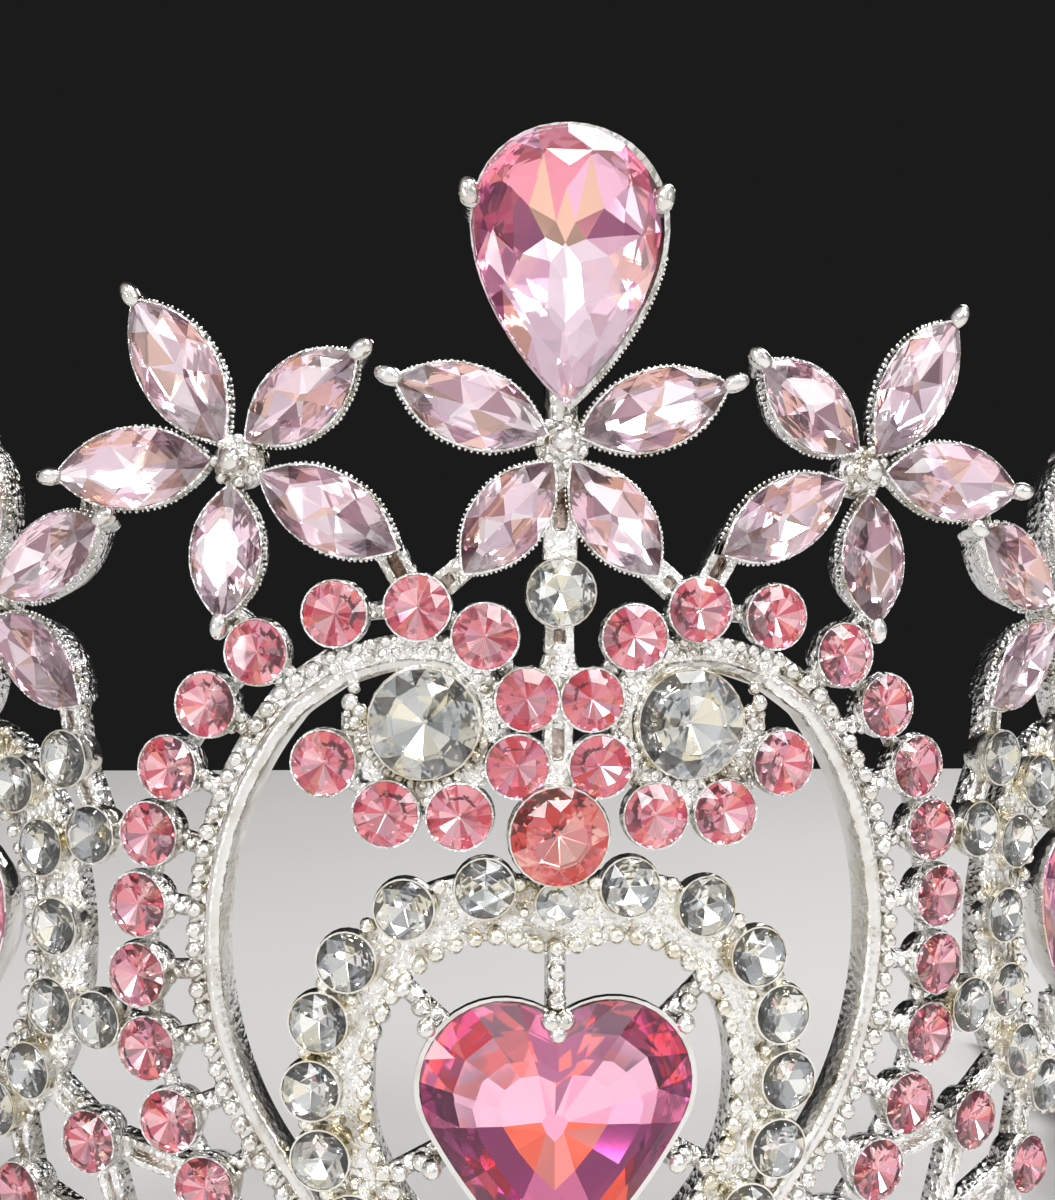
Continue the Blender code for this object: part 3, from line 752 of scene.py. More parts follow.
def round_cup(radius, depth):
    """A cup for a round stone of this radius, with a thin wall and a raised band below its
    rim.
    """
    line = round_line(radius + 0.13)
    inner = (radius + 0.01) / (radius + 0.13)
    return raise_cup(line, 24, ((0.64, -depth), (0.80, -depth * 0.86), (0.97, -0.9),
                                (1.03, -0.5), (1.03, -0.2), (0.99, 0.0), (1.0, 0.34),
                                (inner, 0.34), (inner, -0.5), (0.5, -depth * 0.7)))


CUPS = {"pink": round_cup(2.2, 2.3), "pair": round_cup(2.1, 2.3),
        "clear": round_cup(2.0, 2.2), "small": round_cup(1.45, 2.0),
        "stem": round_cup(2.25, 2.7), "big": round_cup(3.7, 3.0),
        "coral": round_cup(3.3, 3.1)}


def cups_at(kind, spots, out=0.0):
    """Copies of one cup at the spots."""
    return [copy_to(CUPS[kind], seat(u, h, out)) for u, h in spots]


made = cups_at("pink", both(RING_STONES) + both(LINK_PINK))
for node, spot in CLUSTER.items():
    made += cups_at(kind_of(node), both([spot]))
made += cups_at("pink", both(POSTS), POST_OUT)
metal("pink_cups", made, silver_cast)
made = cups_at("clear", both(HALO_STONES) + oval_spots + both(LINK_CLEAR), 0.15)
made += cups_at("small", [HALO_TOP])
metal("clear_cups", made, silver_gilt)
made = cups_at("big", both([BIG_CLEAR])) + cups_at("stem", [SMALL_CLEAR], 0.2)
made += cups_at("coral", [CORAL_SPOT], 0.6)
metal("middle_cups", made, silver_gilt)

# %% [markdown]
# ## Petal cups
# A petal's cup is a boat of thin metal, a little longer than its stone. Its outside was
# cast with a milled edge, a row of tiny grains that catches the light along one flank,
# and its outer tip ends in a round claw that is pressed over the stone's point. Each of
# the twenty-four boats is raised on its own outline, and the grains and claws, which keep
# their own size, are added afterwards.

# %% Petal cups
def bead_shape(radius, rings=2):
    """A small ball, pressed a little flat like a drop of solder."""
    clear_hands()
    bpy.ops.mesh.primitive_ico_sphere_add(subdivisions=rings, radius=radius)
    edit()
    bpy.ops.transform.resize(value=(1, 1, 0.92), center_override=(0, 0, 0))
    done()
    bpy.ops.object.shade_smooth()
    return bpy.context.object


def claw_shape():
    """A claw: a stem that grows out of the cup's tip and ends in a round head."""
    clear_hands()
    bpy.ops.mesh.primitive_uv_sphere_add(segments=14, ring_count=10, radius=0.78,
                                         location=(0, 0, 0))
    claw = bpy.context.object
    edit()
    count = pick_faces(claw, lambda centre, normal: normal.z < -0.55)
    bpy.ops.mesh.extrude_region_move(TRANSFORM_OT_translate={"value": (-0.75, 0, -1.4)})
    bpy.ops.transform.resize(value=(0.9, 0.9, 1), center_override=(-0.75, 0, -2.0))
    done()
    bpy.ops.object.shade_smooth()
    print("claw stem faces:", count)
    return claw


def bead_at(u, h, out, size=1.0):
    """One bead in its place."""
    return copy_to(bead, seat(u, h, out) @ Matrix.Scale(size, 4))


grain, bead, claw = bead_shape(0.13, 1), bead_shape(0.42), claw_shape()
LONG_CLAW = Matrix.Diagonal((1.3, 0.86, 1.0, 1.0))
GRAIN_COUNT, BARE_TIP = 84, 0.9
jitter = random.Random(5)
boats, grains, claws = [], [], []
for node, length, width, place in petal_places():
    line = boat_line(length + 1.0, width + 0.66)
    boats.append(raise_cup(line, 32, ((0.62, -2.5), (0.80, -2.2), (0.97, -0.9), (1.0, -0.1),
                                      (0.985, 0.26), (0.945, 0.26), (0.94, -0.4),
                                      (0.5, -1.9))))
    boats[-1].data.transform(place)
    edge = boat_line(length + 1.0, width + 0.72)
    for i in range(GRAIN_COUNT):
        a = math.tau * (i + 0.5) / GRAIN_COUNT
        if abs(math.cos(a)) > BARE_TIP:
            continue
        x, y = edge(a)
        size = Matrix.Scale(jitter.uniform(0.8, 1.25), 4)
        spot = Matrix.Translation((x, y, jitter.uniform(-0.45, -0.25)))
        grains.append(copy_to(grain, place @ spot @ size))
    if "inner_low" not in node and "centre_petal_low" not in node:
        tip = Matrix.Translation((length / 2 + 0.65, 0, 0.2))
        claws.append(copy_to(claw, place @ tip @ LONG_CLAW))
metal("petal_cups", boats, silver_cast)
metal("petal_grains", grains, silver_smooth)

# %% [markdown]
# ## Flower hearts
# Where the petals meet sits a solid hub with one bright ball, and a ring of small beads
# sits on it. The middle flower's hub also carries the collar of the drop.

# %% Flower hearts
def hub_shape(radius):
    """A low hub with a step and a dome."""
    return raise_cup(round_line(radius), 16, ((0.8, -2.4), (1.0, -1.6), (1.0, -0.6),
                                              (0.72, -0.1), (0.4, 0.1)))


hub, hub_ball = hub_shape(1.9), bead_shape(0.85, 3)
hubs, balls = [], []
HUB_BEADS, HUB_REACH = 7, 1.5
for flower, petals in FLOWERS.values():
    for side in (-1, 1) if flower[0] else (1,):
        hubs.append(copy_to(hub, seat(side * flower[0], flower[1])))
        balls.append(copy_to(hub_ball, seat(side * flower[0], flower[1], 0.75)))
        for i in range(HUB_BEADS):
            a = math.tau * (i + 0.5) / HUB_BEADS
            u = side * flower[0] + HUB_REACH * math.cos(a)
            h = flower[1] + HUB_REACH * math.sin(a)
            balls.append(bead_at(u, h, 0.1))
metal("flower_hubs", hubs, silver_cast)
metal("flower_balls", balls + claws, silver_smooth)
put_away(hub, hub_ball)

# %% [markdown]
# ## The cup of the top drop
# The biggest stone stands in a basket: a drop-shaped wall that leans in to its floor, two
# round claws at the shoulders, and a short collar that joins its point to the flower. Its
# lower right edge shows a rim of fine grains, so the basket sits a little to the right.

# %% Drop basket
basket = raise_cup(drop_line(9.4, 6.7), 48, ((0.45, -4.1), (0.60, -3.8), (0.86, -1.8),
                                             (0.99, -0.3), (1.0, 0.08), (0.945, 0.08),
                                             (0.93, -0.6), (0.5, -3.3)))
BASKET_SHIFT, RIM_GRAINS, RIM_START, RIM_STEP = 0.28, 46, -86, 2
basket.data.transform(seat(*PEAR, PEAR_OUT) @ Matrix.Translation((BASKET_SHIFT, 0, 0)))
parts = [basket]
edge = drop_line(9.45, 6.78)
for i in range(RIM_GRAINS):
    x, y = edge(math.radians(RIM_START + RIM_STEP * i))
    spot = Matrix.Translation((x + BASKET_SHIFT, y, jitter.uniform(-0.35, -0.15)))
    parts.append(copy_to(grain, seat(*PEAR, PEAR_OUT) @ spot))
for side in (-1, 1):
    cup = raise_cup(drop_line(7.6, 5.3), 36, ((0.5, -2.9), (0.7, -2.6), (0.95, -1.0),
                                              (1.0, 0.0), (1.0, 0.28), (0.94, 0.28),
                                              (0.94, -0.5), (0.5, -2.2)))
    cup.data.transform(seat(side * SIDE_PEAR[0], SIDE_PEAR[1]))
    parts.append(cup)
metal("drop_cups", parts, silver_smooth)
clear_hands()
bpy.ops.mesh.primitive_cylinder_add(vertices=16, radius=1.25, depth=4.2,
                                    location=(0, 76.9, -1.35), rotation=(math.pi / 2, 0, 0))
bpy.ops.object.transform_apply()
collar = bpy.context.object
edit()
bpy.ops.mesh.bevel(offset=0.35, segments=2, affect="EDGES")
done()
wrap(collar)
shoulders = [collar]
for side in (-1, 1):
    lean = Matrix.Rotation(math.radians(side * -12), 4, "Z")
    lean = lean @ Matrix.Diagonal((side, 1.35, 1, 1))
    place = seat(side * 6.4, PEAR[1] + 4.6, PEAR_OUT + 0.4)
    shoulders.append(copy_to(claw, place @ lean))
    spur = raise_cup(round_line(0.62), 12, ((1.25, -3.2), (1.0, -1.6), (1.0, 0.3)))
    spur.data.transform(place @ Matrix.Translation((side * -0.25, -0.5, 0)))
    shoulders.append(spur)
metal("drop_claws", shoulders, silver_smooth)

# %% [markdown]
# ## Bars with a section
# The scroll, the halo and the ovals are bars that keep one cross-section all along. The
# tool for that is a curve: its path lies flat, a second small curve is its section, and
# it is then turned into a mesh and wrapped onto the crown. A rough path is first made
# smooth by drawing a spline through its points.

# %% Draw a bar
SMOOTH_STEP = 0.5


def smooth(points, closed=False):
    """Close points on a smooth line through the given ones."""
    dots = [Vector(point) for point in points]
    ends = [dots[-1]] + dots + dots[:2] if closed else [dots[0]] + dots + [dots[-1]]
    line = []
    for before, start, end, after in zip(ends, ends[1:], ends[2:], ends[3:]):
        span = (end - start).length
        leave = (end - before) * (span / (span + (start - before).length))
        reach = (after - start) * (span / (span + (after - end).length))
        count = max(1, round(span / SMOOTH_STEP))
        for i in range(count):
            t = i / count
            line.append(start * (2 * t ** 3 - 3 * t ** 2 + 1)
                        + leave * (t ** 3 - 2 * t ** 2 + t)
                        + end * (3 * t ** 2 - 2 * t ** 3) + reach * (t ** 3 - t ** 2))
    return line if closed else line + [dots[-1]]


def draw_bar(name, points, section, closed=False):
    """A bar along flat points. The section's X is across the path, and its Y is out."""
    drawn = []
    for label, dots, loop in (("section", section, True), (name, points, closed)):
        curve = bpy.data.curves.new(label, "CURVE")
        curve.dimensions, curve.fill_mode = "2D", "NONE"
        spline = curve.splines.new("POLY")
        spline.points.add(len(dots) - 1)
        for dot, (x, y) in zip(spline.points, dots):
            dot.co = (x, y, 0.0, 1.0)
        spline.use_cyclic_u = loop
        drawn.append(bpy.data.objects.new(label, curve))
        bpy.context.scene.collection.objects.link(drawn[-1])
    profile, bar = drawn
    bar.data.bevel_mode, bar.data.bevel_object = "OBJECT", profile
    bar.data.use_fill_caps = not closed
    hold(bar)
    bpy.ops.object.convert(target="MESH")
    put_away(profile)
    edit(bar)
    bpy.ops.mesh.remove_doubles(threshold=0.001)
    close_skin()
    return bar


def arc(u, h, radius, start, end, count):
    """Points of a round arc, angles in degrees."""
    turns = [math.radians(start + (end - start) * i / (count - 1)) for i in range(count)]
    return [(u + radius * math.cos(a), h + radius * math.sin(a)) for a in turns]


def flip(points, side):
    """The same points on the right or the left half."""
    return [(side * point[0], point[1]) for point in points]


def beside(points, shift):
    """The same path, moved to its own left by shift."""
    path = [Vector(point) for point in points]
    moved = []
    for before, dot, after in zip(path[:1] + path, path, path[1:] + path[-1:]):
        along = (after - before).normalized()
        moved.append(dot + Vector((-along.y, along.x)) * shift)
    return moved


def beads_along(points, pitch, out, shift=0.0, size=1.0, closed=False):
    """Beads at even steps, moved to the left of the path by shift."""
    line = [Vector(point) for point in points] + ([Vector(points[0])] if closed else [])
    reach = [0.0]
    for a, b in zip(line, line[1:]):
        reach.append(reach[-1] + (b - a).length)
    count = max(1, round(reach[-1] / pitch))
    beads = []
    for i in range(count if closed else count + 1):
        goal = reach[-1] * i / count
        j = min(len(line) - 2, max(k for k in range(len(line)) if reach[k] <= goal + 1e-6))
        along = line[j + 1] - line[j]
        spot = line[j] + along * ((goal - reach[j]) / max(along.length, 1e-6))
        across = Vector((-along.y, along.x)).normalized() * shift
        beads.append(bead_at(spot.x + across.x, spot.y + across.y, out,
                             size * jitter.uniform(0.92, 1.08)))
    return beads


print("a smooth arch of 10 mm has", len(smooth(((0, 0), (5, 2), (10, 0)))), "points")

# %% [markdown]
# ## The heart scroll
# The scroll is the tiara's main line: two halves rise from the foot, bow out round the
# heart, turn in over the top and curl round the big clear stones. Its inner edge is a
# smooth round rim and its outer side a lower shelf, along which a row of beads is set.
# Towards the curl the rim gives way to grainy metal with beads on both sides.

# %% Scroll
RING_CENTRE, RING_RADIUS = 40.0, 25.0
FOOT = ((0.6, 6.0), (5.4, 9.4), (10.2, 13.5), (15.0, 18.4))
flank = arc(0.0, RING_CENTRE, RING_RADIUS, -40.0, 42.0, 36)
TOP = ((15.4, 58.9), (11.2, 60.1), (7.4, 59.95))
curl = arc(*BIG_CLEAR, 4.75, 128.0, 366.0, 34)
SCROLL_SECTION = ((-1.45, -2.3), (-1.45, -1.2), (-1.2, -1.05), (0.05, -1.05), (0.15, -0.5),
                  (0.4, -0.22), (0.8, -0.12), (1.2, -0.24), (1.45, -0.6), (1.45, -2.3))
CURL_SECTION = ((-1.1, -2.3), (-1.1, -0.8), (-0.7, -0.45), (0.7, -0.45), (1.1, -0.8),
                (1.1, -2.3))
LIP_SECTION = ((-0.5, -1.9), (-0.45, -0.55), (-0.2, -0.28), (0.2, -0.28), (0.45, -0.55),
               (0.5, -1.9))
scroll_line = smooth(FOOT + tuple(flank) + TOP[:1])
curl_line = smooth(TOP + tuple(curl))
bars, curls, beads, nuggets = [], [], [], []
for side in (-1, 1):
    turned = [(x * -side, y) for x, y in SCROLL_SECTION]
    bars.append(draw_bar("scroll", flip(scroll_line, side), turned))
    curls.append(draw_bar("curl", flip(curl_line, side), CURL_SECTION))
    lip = beside(flip(scroll_line[-7:] + curl_line[1:24], side), side * 0.92)
    bars.append(draw_bar("lip", lip, LIP_SECTION))
    beads += beads_along(flip(scroll_line, side), 1.36, -0.62, side * -0.72, 1.4)
    beads += beads_along(flip(curl_line[:26], side), 1.0, -0.35, side * -0.75, 1.0)
    nuggets += beads_along(flip(curl_line[:30], side), 0.9, -0.3, side * 0.05, 0.9)
    nuggets += beads_along(flip(curl_line[26:], side), 0.82, -0.35, side * -0.62, 0.8)
    nuggets += beads_along(flip(curl_line[30:], side), 0.95, -0.3, side * 0.5, 0.9)
metal("scroll_band", [wrap(bar) for bar in bars], silver_smooth)
metal("scroll_curls", [wrap(bar) for bar in curls], silver_cast)
END_BALLS = ((14.2, 56.6, -0.3, 1.5), (13.6, 56.0, -0.5, 1.4), (13.9, 55.2, -0.6, 1.5),
             (14.0, 57.6, -0.6, 1.1))
beads += [bead_at(side * u, h, out, size) for side in (-1, 1)
          for u, h, out, size in END_BALLS]
metal("scroll_beads", beads, silver_smooth)
metal("curl_grains", nuggets, silver_cast)

# %% [markdown]
# ## Stem and struts
# Down the middle runs the stem, cast as two rails with a slot between, whose dark finish
# is painted shade along with tarnish, and the struts that hold the flowers are made the
# same way. One strut is modelled: a block, rounded, its top face inset and sunk. Every
# other one is that block, stretched between two points.

# %% Struts
clear_hands()
bpy.ops.mesh.primitive_cube_add(size=1.0)
strut = bpy.context.object
edit()
pick_faces(strut, lambda centre, normal: normal.z > 0.9)
bpy.ops.mesh.inset(thickness=0.3)
bpy.ops.mesh.extrude_region_move(TRANSFORM_OT_translate={"value": (0, 0, -0.55)})
done()
# The sunk faces take the slot finish: painted shade in the slot, along with tarnish.
for finish in (silver_cast, silver_shade_and_tarnish):
    strut.data.materials.append(finish)
for face in strut.data.polygons:
    face.material_index = 1 if face.select else 0
edit(strut)
bpy.ops.mesh.bevel(offset=0.06, segments=2, affect="EDGES")
close_skin(50)
clear_hands()
bpy.ops.mesh.primitive_cylinder_add(vertices=10, radius=0.5, depth=1.0,
                                    rotation=(0, math.pi / 2, 0))
bpy.ops.object.transform_apply()
rod = bpy.context.object
edit()
bpy.ops.mesh.select_all(action="DESELECT")
pick_faces(rod, lambda centre, normal: abs(normal.x) > 0.9)
bpy.ops.mesh.inset(thickness=0.12)
close_skin(50)


def stretch(shape, start, end, width, thick, out):
    """Copy a unit bar so that it runs flat from start to end."""
    a, b = Vector(start), Vector(end)
    middle, along = (a + b) / 2, b - a
    place = Matrix.Translation((middle.x, middle.y, out))
    turn = Matrix.Rotation(math.atan2(along.y, along.x), 4, "Z")
    size = Matrix.Diagonal((along.length, width, thick, 1))
    return wrap(copy_to(shape, place @ turn @ size))


STRUTS = ((0.0, 73.2, 0.0, 66.3, 2.3), (0.0, 62.4, 0.0, 60.0, 2.0),
          (0.0, 58.0, 0.0, 50.5, 2.0), (6.5, 65.9, 9.2, 63.6, 1.8),
          (12.6, 68.4, 9.9, 63.7, 2.0), (34.2, 72.0, 34.7, 68.2, 1.5),
          (23.4, 62.6, 21.4, 60.8, 1.7))
bars = []
for x0, y0, x1, y1, width in STRUTS:
    for side in (-1, 1) if x0 else (1,):
        bars.append(stretch(strut, (side * x0, y0), (side * x1, y1), width, 1.7, -1.25))
metal("struts", bars, None)

# %% [markdown]
# ## Links
# Between the cups lie short round links, lumpy with solder. Each is a rod, and grains sit
# along it where two castings were joined. Where the stem meets the curls, a small web
# widens downward and is covered with finer grains.

# %% Links
LINKS = ((9.6, 63.1, 9.8, 60.2), (9.6, 63.1, 5.05, 61.2), (5.05, 61.2, 2.2, 57.0),
         (2.2, 57.0, 0.0, 58.6), (5.05, 61.2, 5.8, 58.4), (15.2, 62.6, 14.9, 59.4),
         (2.8, 52.5, 0.0, 51.2), (2.2, 57.0, 0.0, 55.4), (2.8, 52.5, 5.1, 53.0),
         (6.65, 49.1, 7.9, 51.2), (11.6, 49.2, 10.4, 51.2), (6.65, 49.1, 11.6, 49.2),
         (15.9, 52.5, 13.2, 53.6), (2.8, 52.5, 0.0, 47.9), (15.9, 52.5, 11.6, 49.2),
         (15.2, 62.6, 9.6, 63.1))
rods, lumps = [], []
for x0, y0, x1, y1 in LINKS:
    for side in (-1, 1):
        rods.append(stretch(rod, (side * x0, y0), (side * x1, y1), 1.3, 1.3, -1.3))
        for shift, size in ((0.25, 0.85), (-0.3, 0.7)):
            path = [(side * x0, y0), (side * x1, y1)]
            lumps += beads_along(path, 0.8, -0.75, shift, size)
for side in (-1, 1):
    for u, h in RING_STONES:
        inward = Vector((u, h - RING_CENTRE)).normalized()
        near = Vector((u, h)) - inward * 3.6
        rods.append(stretch(rod, (side * u, h), (side * near.x, near.y), 1.5, 1.4, -1.3))
        for away, shift in ((2.2, -0.5), (2.4, 0.5), (2.9, 0.0)):
            spot = Vector((u, h)) - inward * away + Vector((-inward.y, inward.x)) * shift
            lumps.append(bead_at(side * spot.x, spot.y, -0.6))
    for (u0, h0), (u1, h1) in zip(RING_STONES, RING_STONES[1:]):
        rods.append(stretch(rod, (side * u0, h0), (side * u1, h1), 1.1, 1.2, -1.5))
WEB_GRAINS, WEB_MIDDLE = 60, 58.9
for _ in range(WEB_GRAINS):
    a, away = jitter.uniform(0, math.tau), jitter.uniform(0.0, 1.2)
    lumps.append(bead_at(away * math.cos(a), WEB_MIDDLE + away * math.sin(a), -0.5,
                         jitter.uniform(0.3, 0.6)))


def flare(a):
    """A soft trapezoid, wider at its foot."""
    reach = math.copysign(abs(math.cos(a)) ** 0.5, math.cos(a))
    return (reach * (1.35 - 0.42 * math.sin(a)), math.sin(a) * 1.75)


web = raise_cup(flare, 32, ((0.9, -1.8), (1.0, -1.5), (1.0, -0.75), (0.9, -0.55),
                            (0.6, -0.48)))
web.data.transform(seat(0.0, 59.1))
rods.append(web)
metal("link_rods", rods, silver_cast)
metal("link_grains", lumps, silver_cast)

# %% [markdown]
# ## The halo
# Round the heart stone runs a scalloped border: the clear stones' cups stand on a flat
# plate, whose inner edge carries a row of beads as big as grape pips. The plate is one
# closed bar that follows the stones, a little inside them, so that the cups overhang it
# and make the scallops. The stone itself has a plain thin wall with claws.

# %% Halo and heart cup
HALO_MIDDLE = 29.0
ring = [HALO_TOP] + list(HALO_STONES)
ring += [(-u, h) for u, h in reversed(HALO_STONES)]


def toward_middle(points, share):
    """The points moved toward the middle of the heart, to this share of their reach."""
    return [(u * share, (h - HALO_MIDDLE) * share + HALO_MIDDLE) for u, h in points]


PLATE_SECTION = ((-2.3, -2.2), (-2.3, -0.75), (-1.7, -0.55), (1.7, -0.55), (2.3, -0.75),
                 (2.3, -2.2))
plate = draw_bar("halo_plate", smooth(toward_middle(ring, 0.90), closed=True),
                 PLATE_SECTION, closed=True)
metal("halo_plate", [wrap(plate)], silver_cast)
inner_line = smooth(toward_middle(ring, 0.78), closed=True)
made = beads_along(inner_line, 1.42, -0.2, 0.0, 1.5, closed=True)
for (u0, h0), (u1, h1) in zip(ring, ring[1:] + ring[:1]):
    for share, size in ((1.05, 1.3), (0.92, 0.9)):
        spot = toward_middle([((u0 + u1) / 2, (h0 + h1) / 2)], share)[0]
        made.append(bead_at(*spot, -0.1, size))
metal("halo_beads", made, silver_gilt)


def whole_heart(grow):
    """Both halves of the heart's outline."""
    right = heart_line(grow)

    def line(a):
        if math.cos(a) >= 0:
            return right(math.atan2(math.sin(a), math.cos(a)))
        x, y = right(math.atan2(math.sin(a), -math.cos(a)))
        return (-x, y)
    return line


cup = raise_cup(whole_heart(0.35), 56, ((0.45, -3.8), (0.60, -3.5), (0.88, -1.8),
                                        (1.0, -0.2), (1.0, 0.3), (0.965, 0.3),
                                        (0.965, -0.6), (0.5, -3.0)))
cup.data.transform(seat(0.0, HEART_LOBE[1], HEART_OUT))
metal("heart_cup", [cup], silver_smooth)
HEART_TIES = ((0.0, 40.4, 0.0, 34.3, 1.5), (11.6, 38.4, 7.6, 34.8, 1.4),
              (11.9, 24.0, 7.2, 26.6, 1.4), (0.0, 13.6, 0.0, 18.9, 1.5))
ties, knobs = [], []
for x0, y0, x1, y1, width in HEART_TIES:
    for side in (-1, 1) if x0 else (1,):
        ties.append(stretch(rod, (side * x0, y0), (side * x1, y1), width, 1.5, -0.9))
        for t, size in ((0.30, 1.5), (0.62, 1.7)):
            u, h = x0 + (x1 - x0) * t, y0 + (y1 - y0) * t
            knobs.append(bead_at(side * u, h, 0.1, size))
for u, h in both(((8.6, 35.1), (8.2, 25.6), (0.5, 35.6))) + [(0.0, 34.7), (0.0, 18.4)]:
    flat = math.copysign(0.9, u)
    knobs.append(copy_to(claw, seat(u, h, 1.15) @ Matrix.Diagonal((flat, 0.9, 0.9, 1))))
metal("heart_ties", ties, silver_cast)
metal("heart_claws", knobs, silver_smooth)

# %% [markdown]
# ## The side ovals
# Beside the heart, on each side, a ring of clear stones frames a pink drop. The plate is
# made as the halo's was, and bars tie it to the scroll, to the flower above and to the
# band below.

# %% Ovals and their bars
OVAL_POINTS = 60


def oval_line(side, reach):
    """A smooth oval about the side drop."""
    angles = [math.tau * i / OVAL_POINTS for i in range(OVAL_POINTS)]
    return [(side * (SIDE_PEAR[0] - reach[0] * math.cos(a)),
             SIDE_PEAR[1] + reach[1] * math.sin(a)) for a in angles]


plates, made = [], []
for side in (-1, 1):
    plates.append(draw_bar("oval", oval_line(side, (9.4, 13.5)), PLATE_SECTION, closed=True))
    made += beads_along(oval_line(side, (7.1, 11.3)), 1.35, -0.3, 0.0, 1.3, closed=True)
    made += beads_along(oval_line(side, (11.9, 16.0)), 1.5, -0.7, 0.0, 1.0, closed=True)
metal("oval_plates", [wrap(plate) for plate in plates], silver_cast)
metal("oval_beads", made, silver_smooth)
SIDE_BARS = (
    ((36.8, 57.6), (36.0, 51.8), (33.6, 46.6), (28.8, 47.0)), ((33.6, 46.6), (37.2, 43.4)),
    ((36.6, 33.6), (33.1, 33.4), (28.9, 31.9)), ((39.0, 28.0), (33.8, 24.5), (24.3, 22.6)),
    ((33.8, 24.5), (31.0, 16.0), (30.4, 4.0)), ((17.3, 15.0), (31.0, 16.0), (40.6, 19.4)),
    ((42.2, 26.2), (40.6, 19.4), (40.2, 4.0)), ((51.2, 26.2), (52.8, 19.4), (53.2, 4.0)),
    ((46.7, 52.6), (46.7, 49.8)), ((46.7, 49.0), (46.7, 45.0)), ((46.7, 27.0), (46.7, 31.4)),
    ((54.6, 33.6), (61.0, 27.0)), ((13.5, 11.6), (13.7, 4.0)), ((20.9, 18.7), (21.6, 4.0)),
)
RAIL = ((52.8, 19.4), (61.0, 20.6), (71.5, 18.6), (82.0, 14.6), (92.5, 10.4), (110.0, 4.0))
RAIL_SECTION = ((-0.9, -2.4), (-0.9, -1.0), (-0.4, -0.65), (0.4, -0.65), (0.9, -1.0),
                (0.9, -2.4))
POST_FOOT = 4.0
rods, made = [], []
for side in (-1, 1):
    for route in SIDE_BARS:
        turned = flip(route, side)
        for start, end in zip(turned, turned[1:]):
            rods.append(stretch(strut, start, end, 1.8, 1.5, -1.4))
    for u, h in POSTS:
        rods.append(stretch(strut, (side * u, h), (side * u, POST_FOOT), 1.7, 1.4, -1.7))
    rail = flip(smooth(RAIL), side)
    rods.append(wrap(draw_bar("rail", rail, RAIL_SECTION)))
    rods[-1].data.materials.append(silver_cast)
    made += beads_along(rail, 1.4, -0.85, 0.0, 0.9)
metal("side_bars", rods, None)

# %% [markdown]
# ## The base band
# The whole tiara stands on one flat band with a raised edge above and below and a row of
# beads between them. An eye at each end takes the ribbon or pins that hold it on the
# head.

# %% Band and eyes
BAND_SECTION = ((-2.6, -2.6), (-2.6, -0.95), (-2.3, -0.68), (-1.9, -0.68), (-1.6, -0.95),
                (-1.5, -1.25), (1.5, -1.25), (1.6, -0.95), (1.9, -0.68), (2.3, -0.68),
                (2.6, -0.95), (2.6, -2.6))
BAND_HALF, BAND_STEPS, BAND_HEIGHT = 125.0, 170, 2.6
band_line = [(-BAND_HALF + 2 * BAND_HALF * i / BAND_STEPS, BAND_HEIGHT)
             for i in range(BAND_STEPS + 1)]
ribbon = [wrap(draw_bar("band", band_line, BAND_SECTION))]
made += beads_along(band_line, 1.75, -1.1, 0.0, 1.5)
EYE_MIDDLE, EYE_RADIUS, EYE_POINTS = 127.2, 1.9, 24
EYE_SECTION = [(0.7 * math.cos(math.tau * i / 10), 0.7 * math.sin(math.tau * i / 10) - 1.6)
               for i in range(10)]
for side in (-1, 1):
    eye = arc(side * EYE_MIDDLE, BAND_HEIGHT, EYE_RADIUS, 0.0, 345.0, EYE_POINTS)
    ribbon.append(wrap(draw_bar("eye", eye, EYE_SECTION, closed=True)))
metal("base_band", ribbon, silver_smooth)
metal("band_beads", made, silver_smooth)

# %% [markdown]
# ## The floor
# A pale table ends a short way behind the tiara, and beyond it the studio is dark, as a
# jeweller would have it, so that bright edges stand out. The table is a plane with a
# faint cloud in its tone, as a matt board has.

# %% Floor
clear_hands()
bpy.ops.mesh.primitive_plane_add(size=1.0, location=(0, 0, 0))
floor = bpy.context.object
floor.name = "floor"
edit()
bpy.ops.transform.resize(value=(3.0, 1.9, 1.0), center_override=(0, 0, 0))
bpy.ops.transform.translate(value=(0, -0.655, 0))
bpy.ops.mesh.subdivide(number_cuts=8)
done()
pale = Finish("pale_table")
cloud = pale.add("ShaderNodeTexNoise", {}, {"Vector": pale.place(), "Scale": 6.0})
tone = pale.add("ShaderNodeValToRGB", {"stops": [(0.3, (0.66, 0.65, 0.64)),
                                                 (0.7, (0.71, 0.70, 0.69))]},
                {"Fac": cloud})
floor.data.materials.append(pale.end(Base_Color=tone, Roughness=0.5))
print("floor, in metres:", [round(v, 2) for v in floor.dimensions])

# %% [markdown]
# ## The studio
# Silver and cut stones show what is around them, so the room matters more than the lamps.
# It is pale in front, a little darker straight ahead, where the camera blocks the light,
# and dark behind. The lamps are soft boxes. Small ones stand high and to the sides, where
# sloping facets answer with crisp flashes. The low one in front is wide and weak, because
# the flat tables of the middle stones mirror it, and a strong one would veil them.

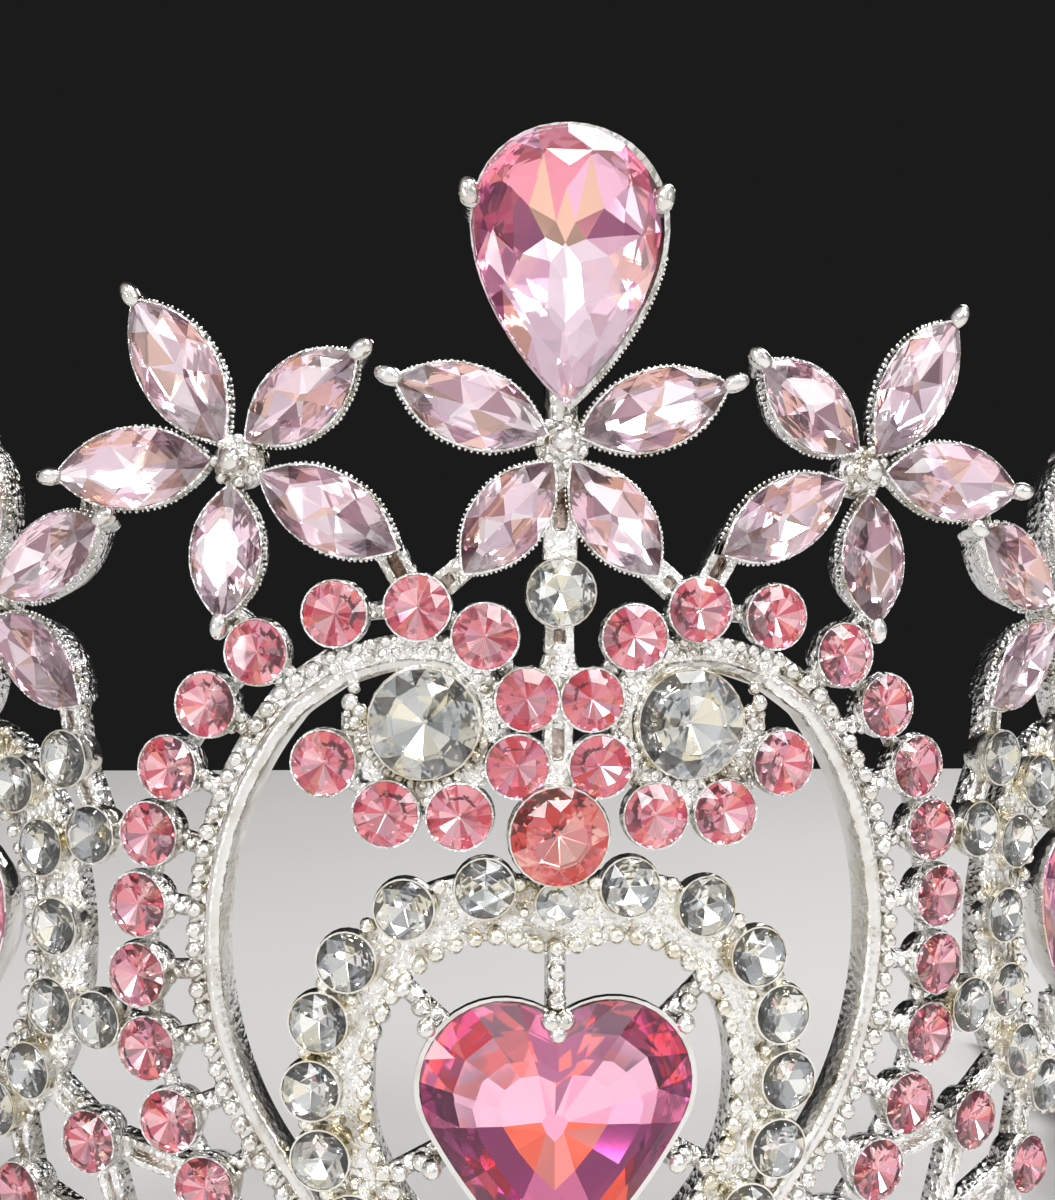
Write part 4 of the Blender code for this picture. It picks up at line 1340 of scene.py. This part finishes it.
# %% Studio
SKY = ((0.0, 0.34), (0.14, 0.66), (0.36, 0.60), (0.5, 0.34), (0.72, 0.03), (0.9, 0.011))
sky = Finish("studio", "worlds")
around = sky.add("ShaderNodeTexCoord", {}, {}, "Generated")
behind = sky.add("ShaderNodeSeparateXYZ", {}, {"Vector": around}, "Y")
stops = [(position, (value, value, value)) for position, value in SKY]
grey = sky.add("ShaderNodeValToRGB", {"stops": stops}, {"Fac": behind * 0.5 + 0.5})
bpy.context.scene.world = sky.end(Color=grey, Strength=1.0)

LIGHTS = {
    "key": ((-0.35, -0.55, 0.55), 0.19, 1.45), "fill": ((0.50, -0.45, 0.35), 0.16, 0.8),
    "top": ((0.17, -0.14, 0.52), 0.22, 1.8), "low": ((-0.1, -0.7, 0.28), 0.50, 0.4),
    "back": ((0.35, 0.45, 0.45), 0.25, 0.8), "spark": ((-0.44, -0.46, 0.06), 0.10, 0.35),
    "glint": ((0.10, -0.52, 0.60), 0.12, 0.75),
}
for name, (place, size, power) in LIGHTS.items():
    clear_hands()
    bpy.ops.object.light_add(type="AREA", location=place)
    lamp = bpy.context.object
    lamp.name, lamp.data.size, lamp.data.energy = name, size, power
    aim = Vector((0, 0, 0.05)) - Vector(place)
    lamp.rotation_euler = aim.to_track_quat("-Z", "Y").to_euler()
print("lamps:", ", ".join(LIGHTS))

# %% [markdown]
# ## The camera
# The photograph was taken from close by, level with the upper stones, a hand's breadth in
# front of the crown and slightly from the left. So near a subject needs the true distance:
# it decides how fast the sides turn away and grow small.

# %% Camera
YAW, PITCH, ROLL = 0.084068, math.radians(-1.5), 0.010623
clear_hands()
bpy.ops.object.camera_add(location=(-0.009714, -0.131286, 0.066))
camera = bpy.context.object
ahead = Vector((math.sin(YAW) * math.cos(PITCH), math.cos(YAW) * math.cos(PITCH),
                math.sin(PITCH)))
right = Vector((math.cos(YAW), -math.sin(YAW), 0.0))
above = right.cross(ahead)
across = right * math.cos(ROLL) + above * math.sin(ROLL)
upward = above * math.cos(ROLL) - right * math.sin(ROLL)
camera.rotation_euler = Matrix((across, upward, -ahead)).transposed().to_euler()
camera.data.sensor_width = 36.0
camera.data.lens = 39.9
camera.data.clip_start = 0.001
bpy.context.scene.camera = camera
bpy.context.scene.view_settings.view_transform = "Standard"
print("camera:", [round(v, 3) for v in camera.location], "lens", camera.data.lens, "mm")

# %% Finish
put_away(*ROUNDS.values(), *CUPS.values(), grain, bead, claw, strut, rod)
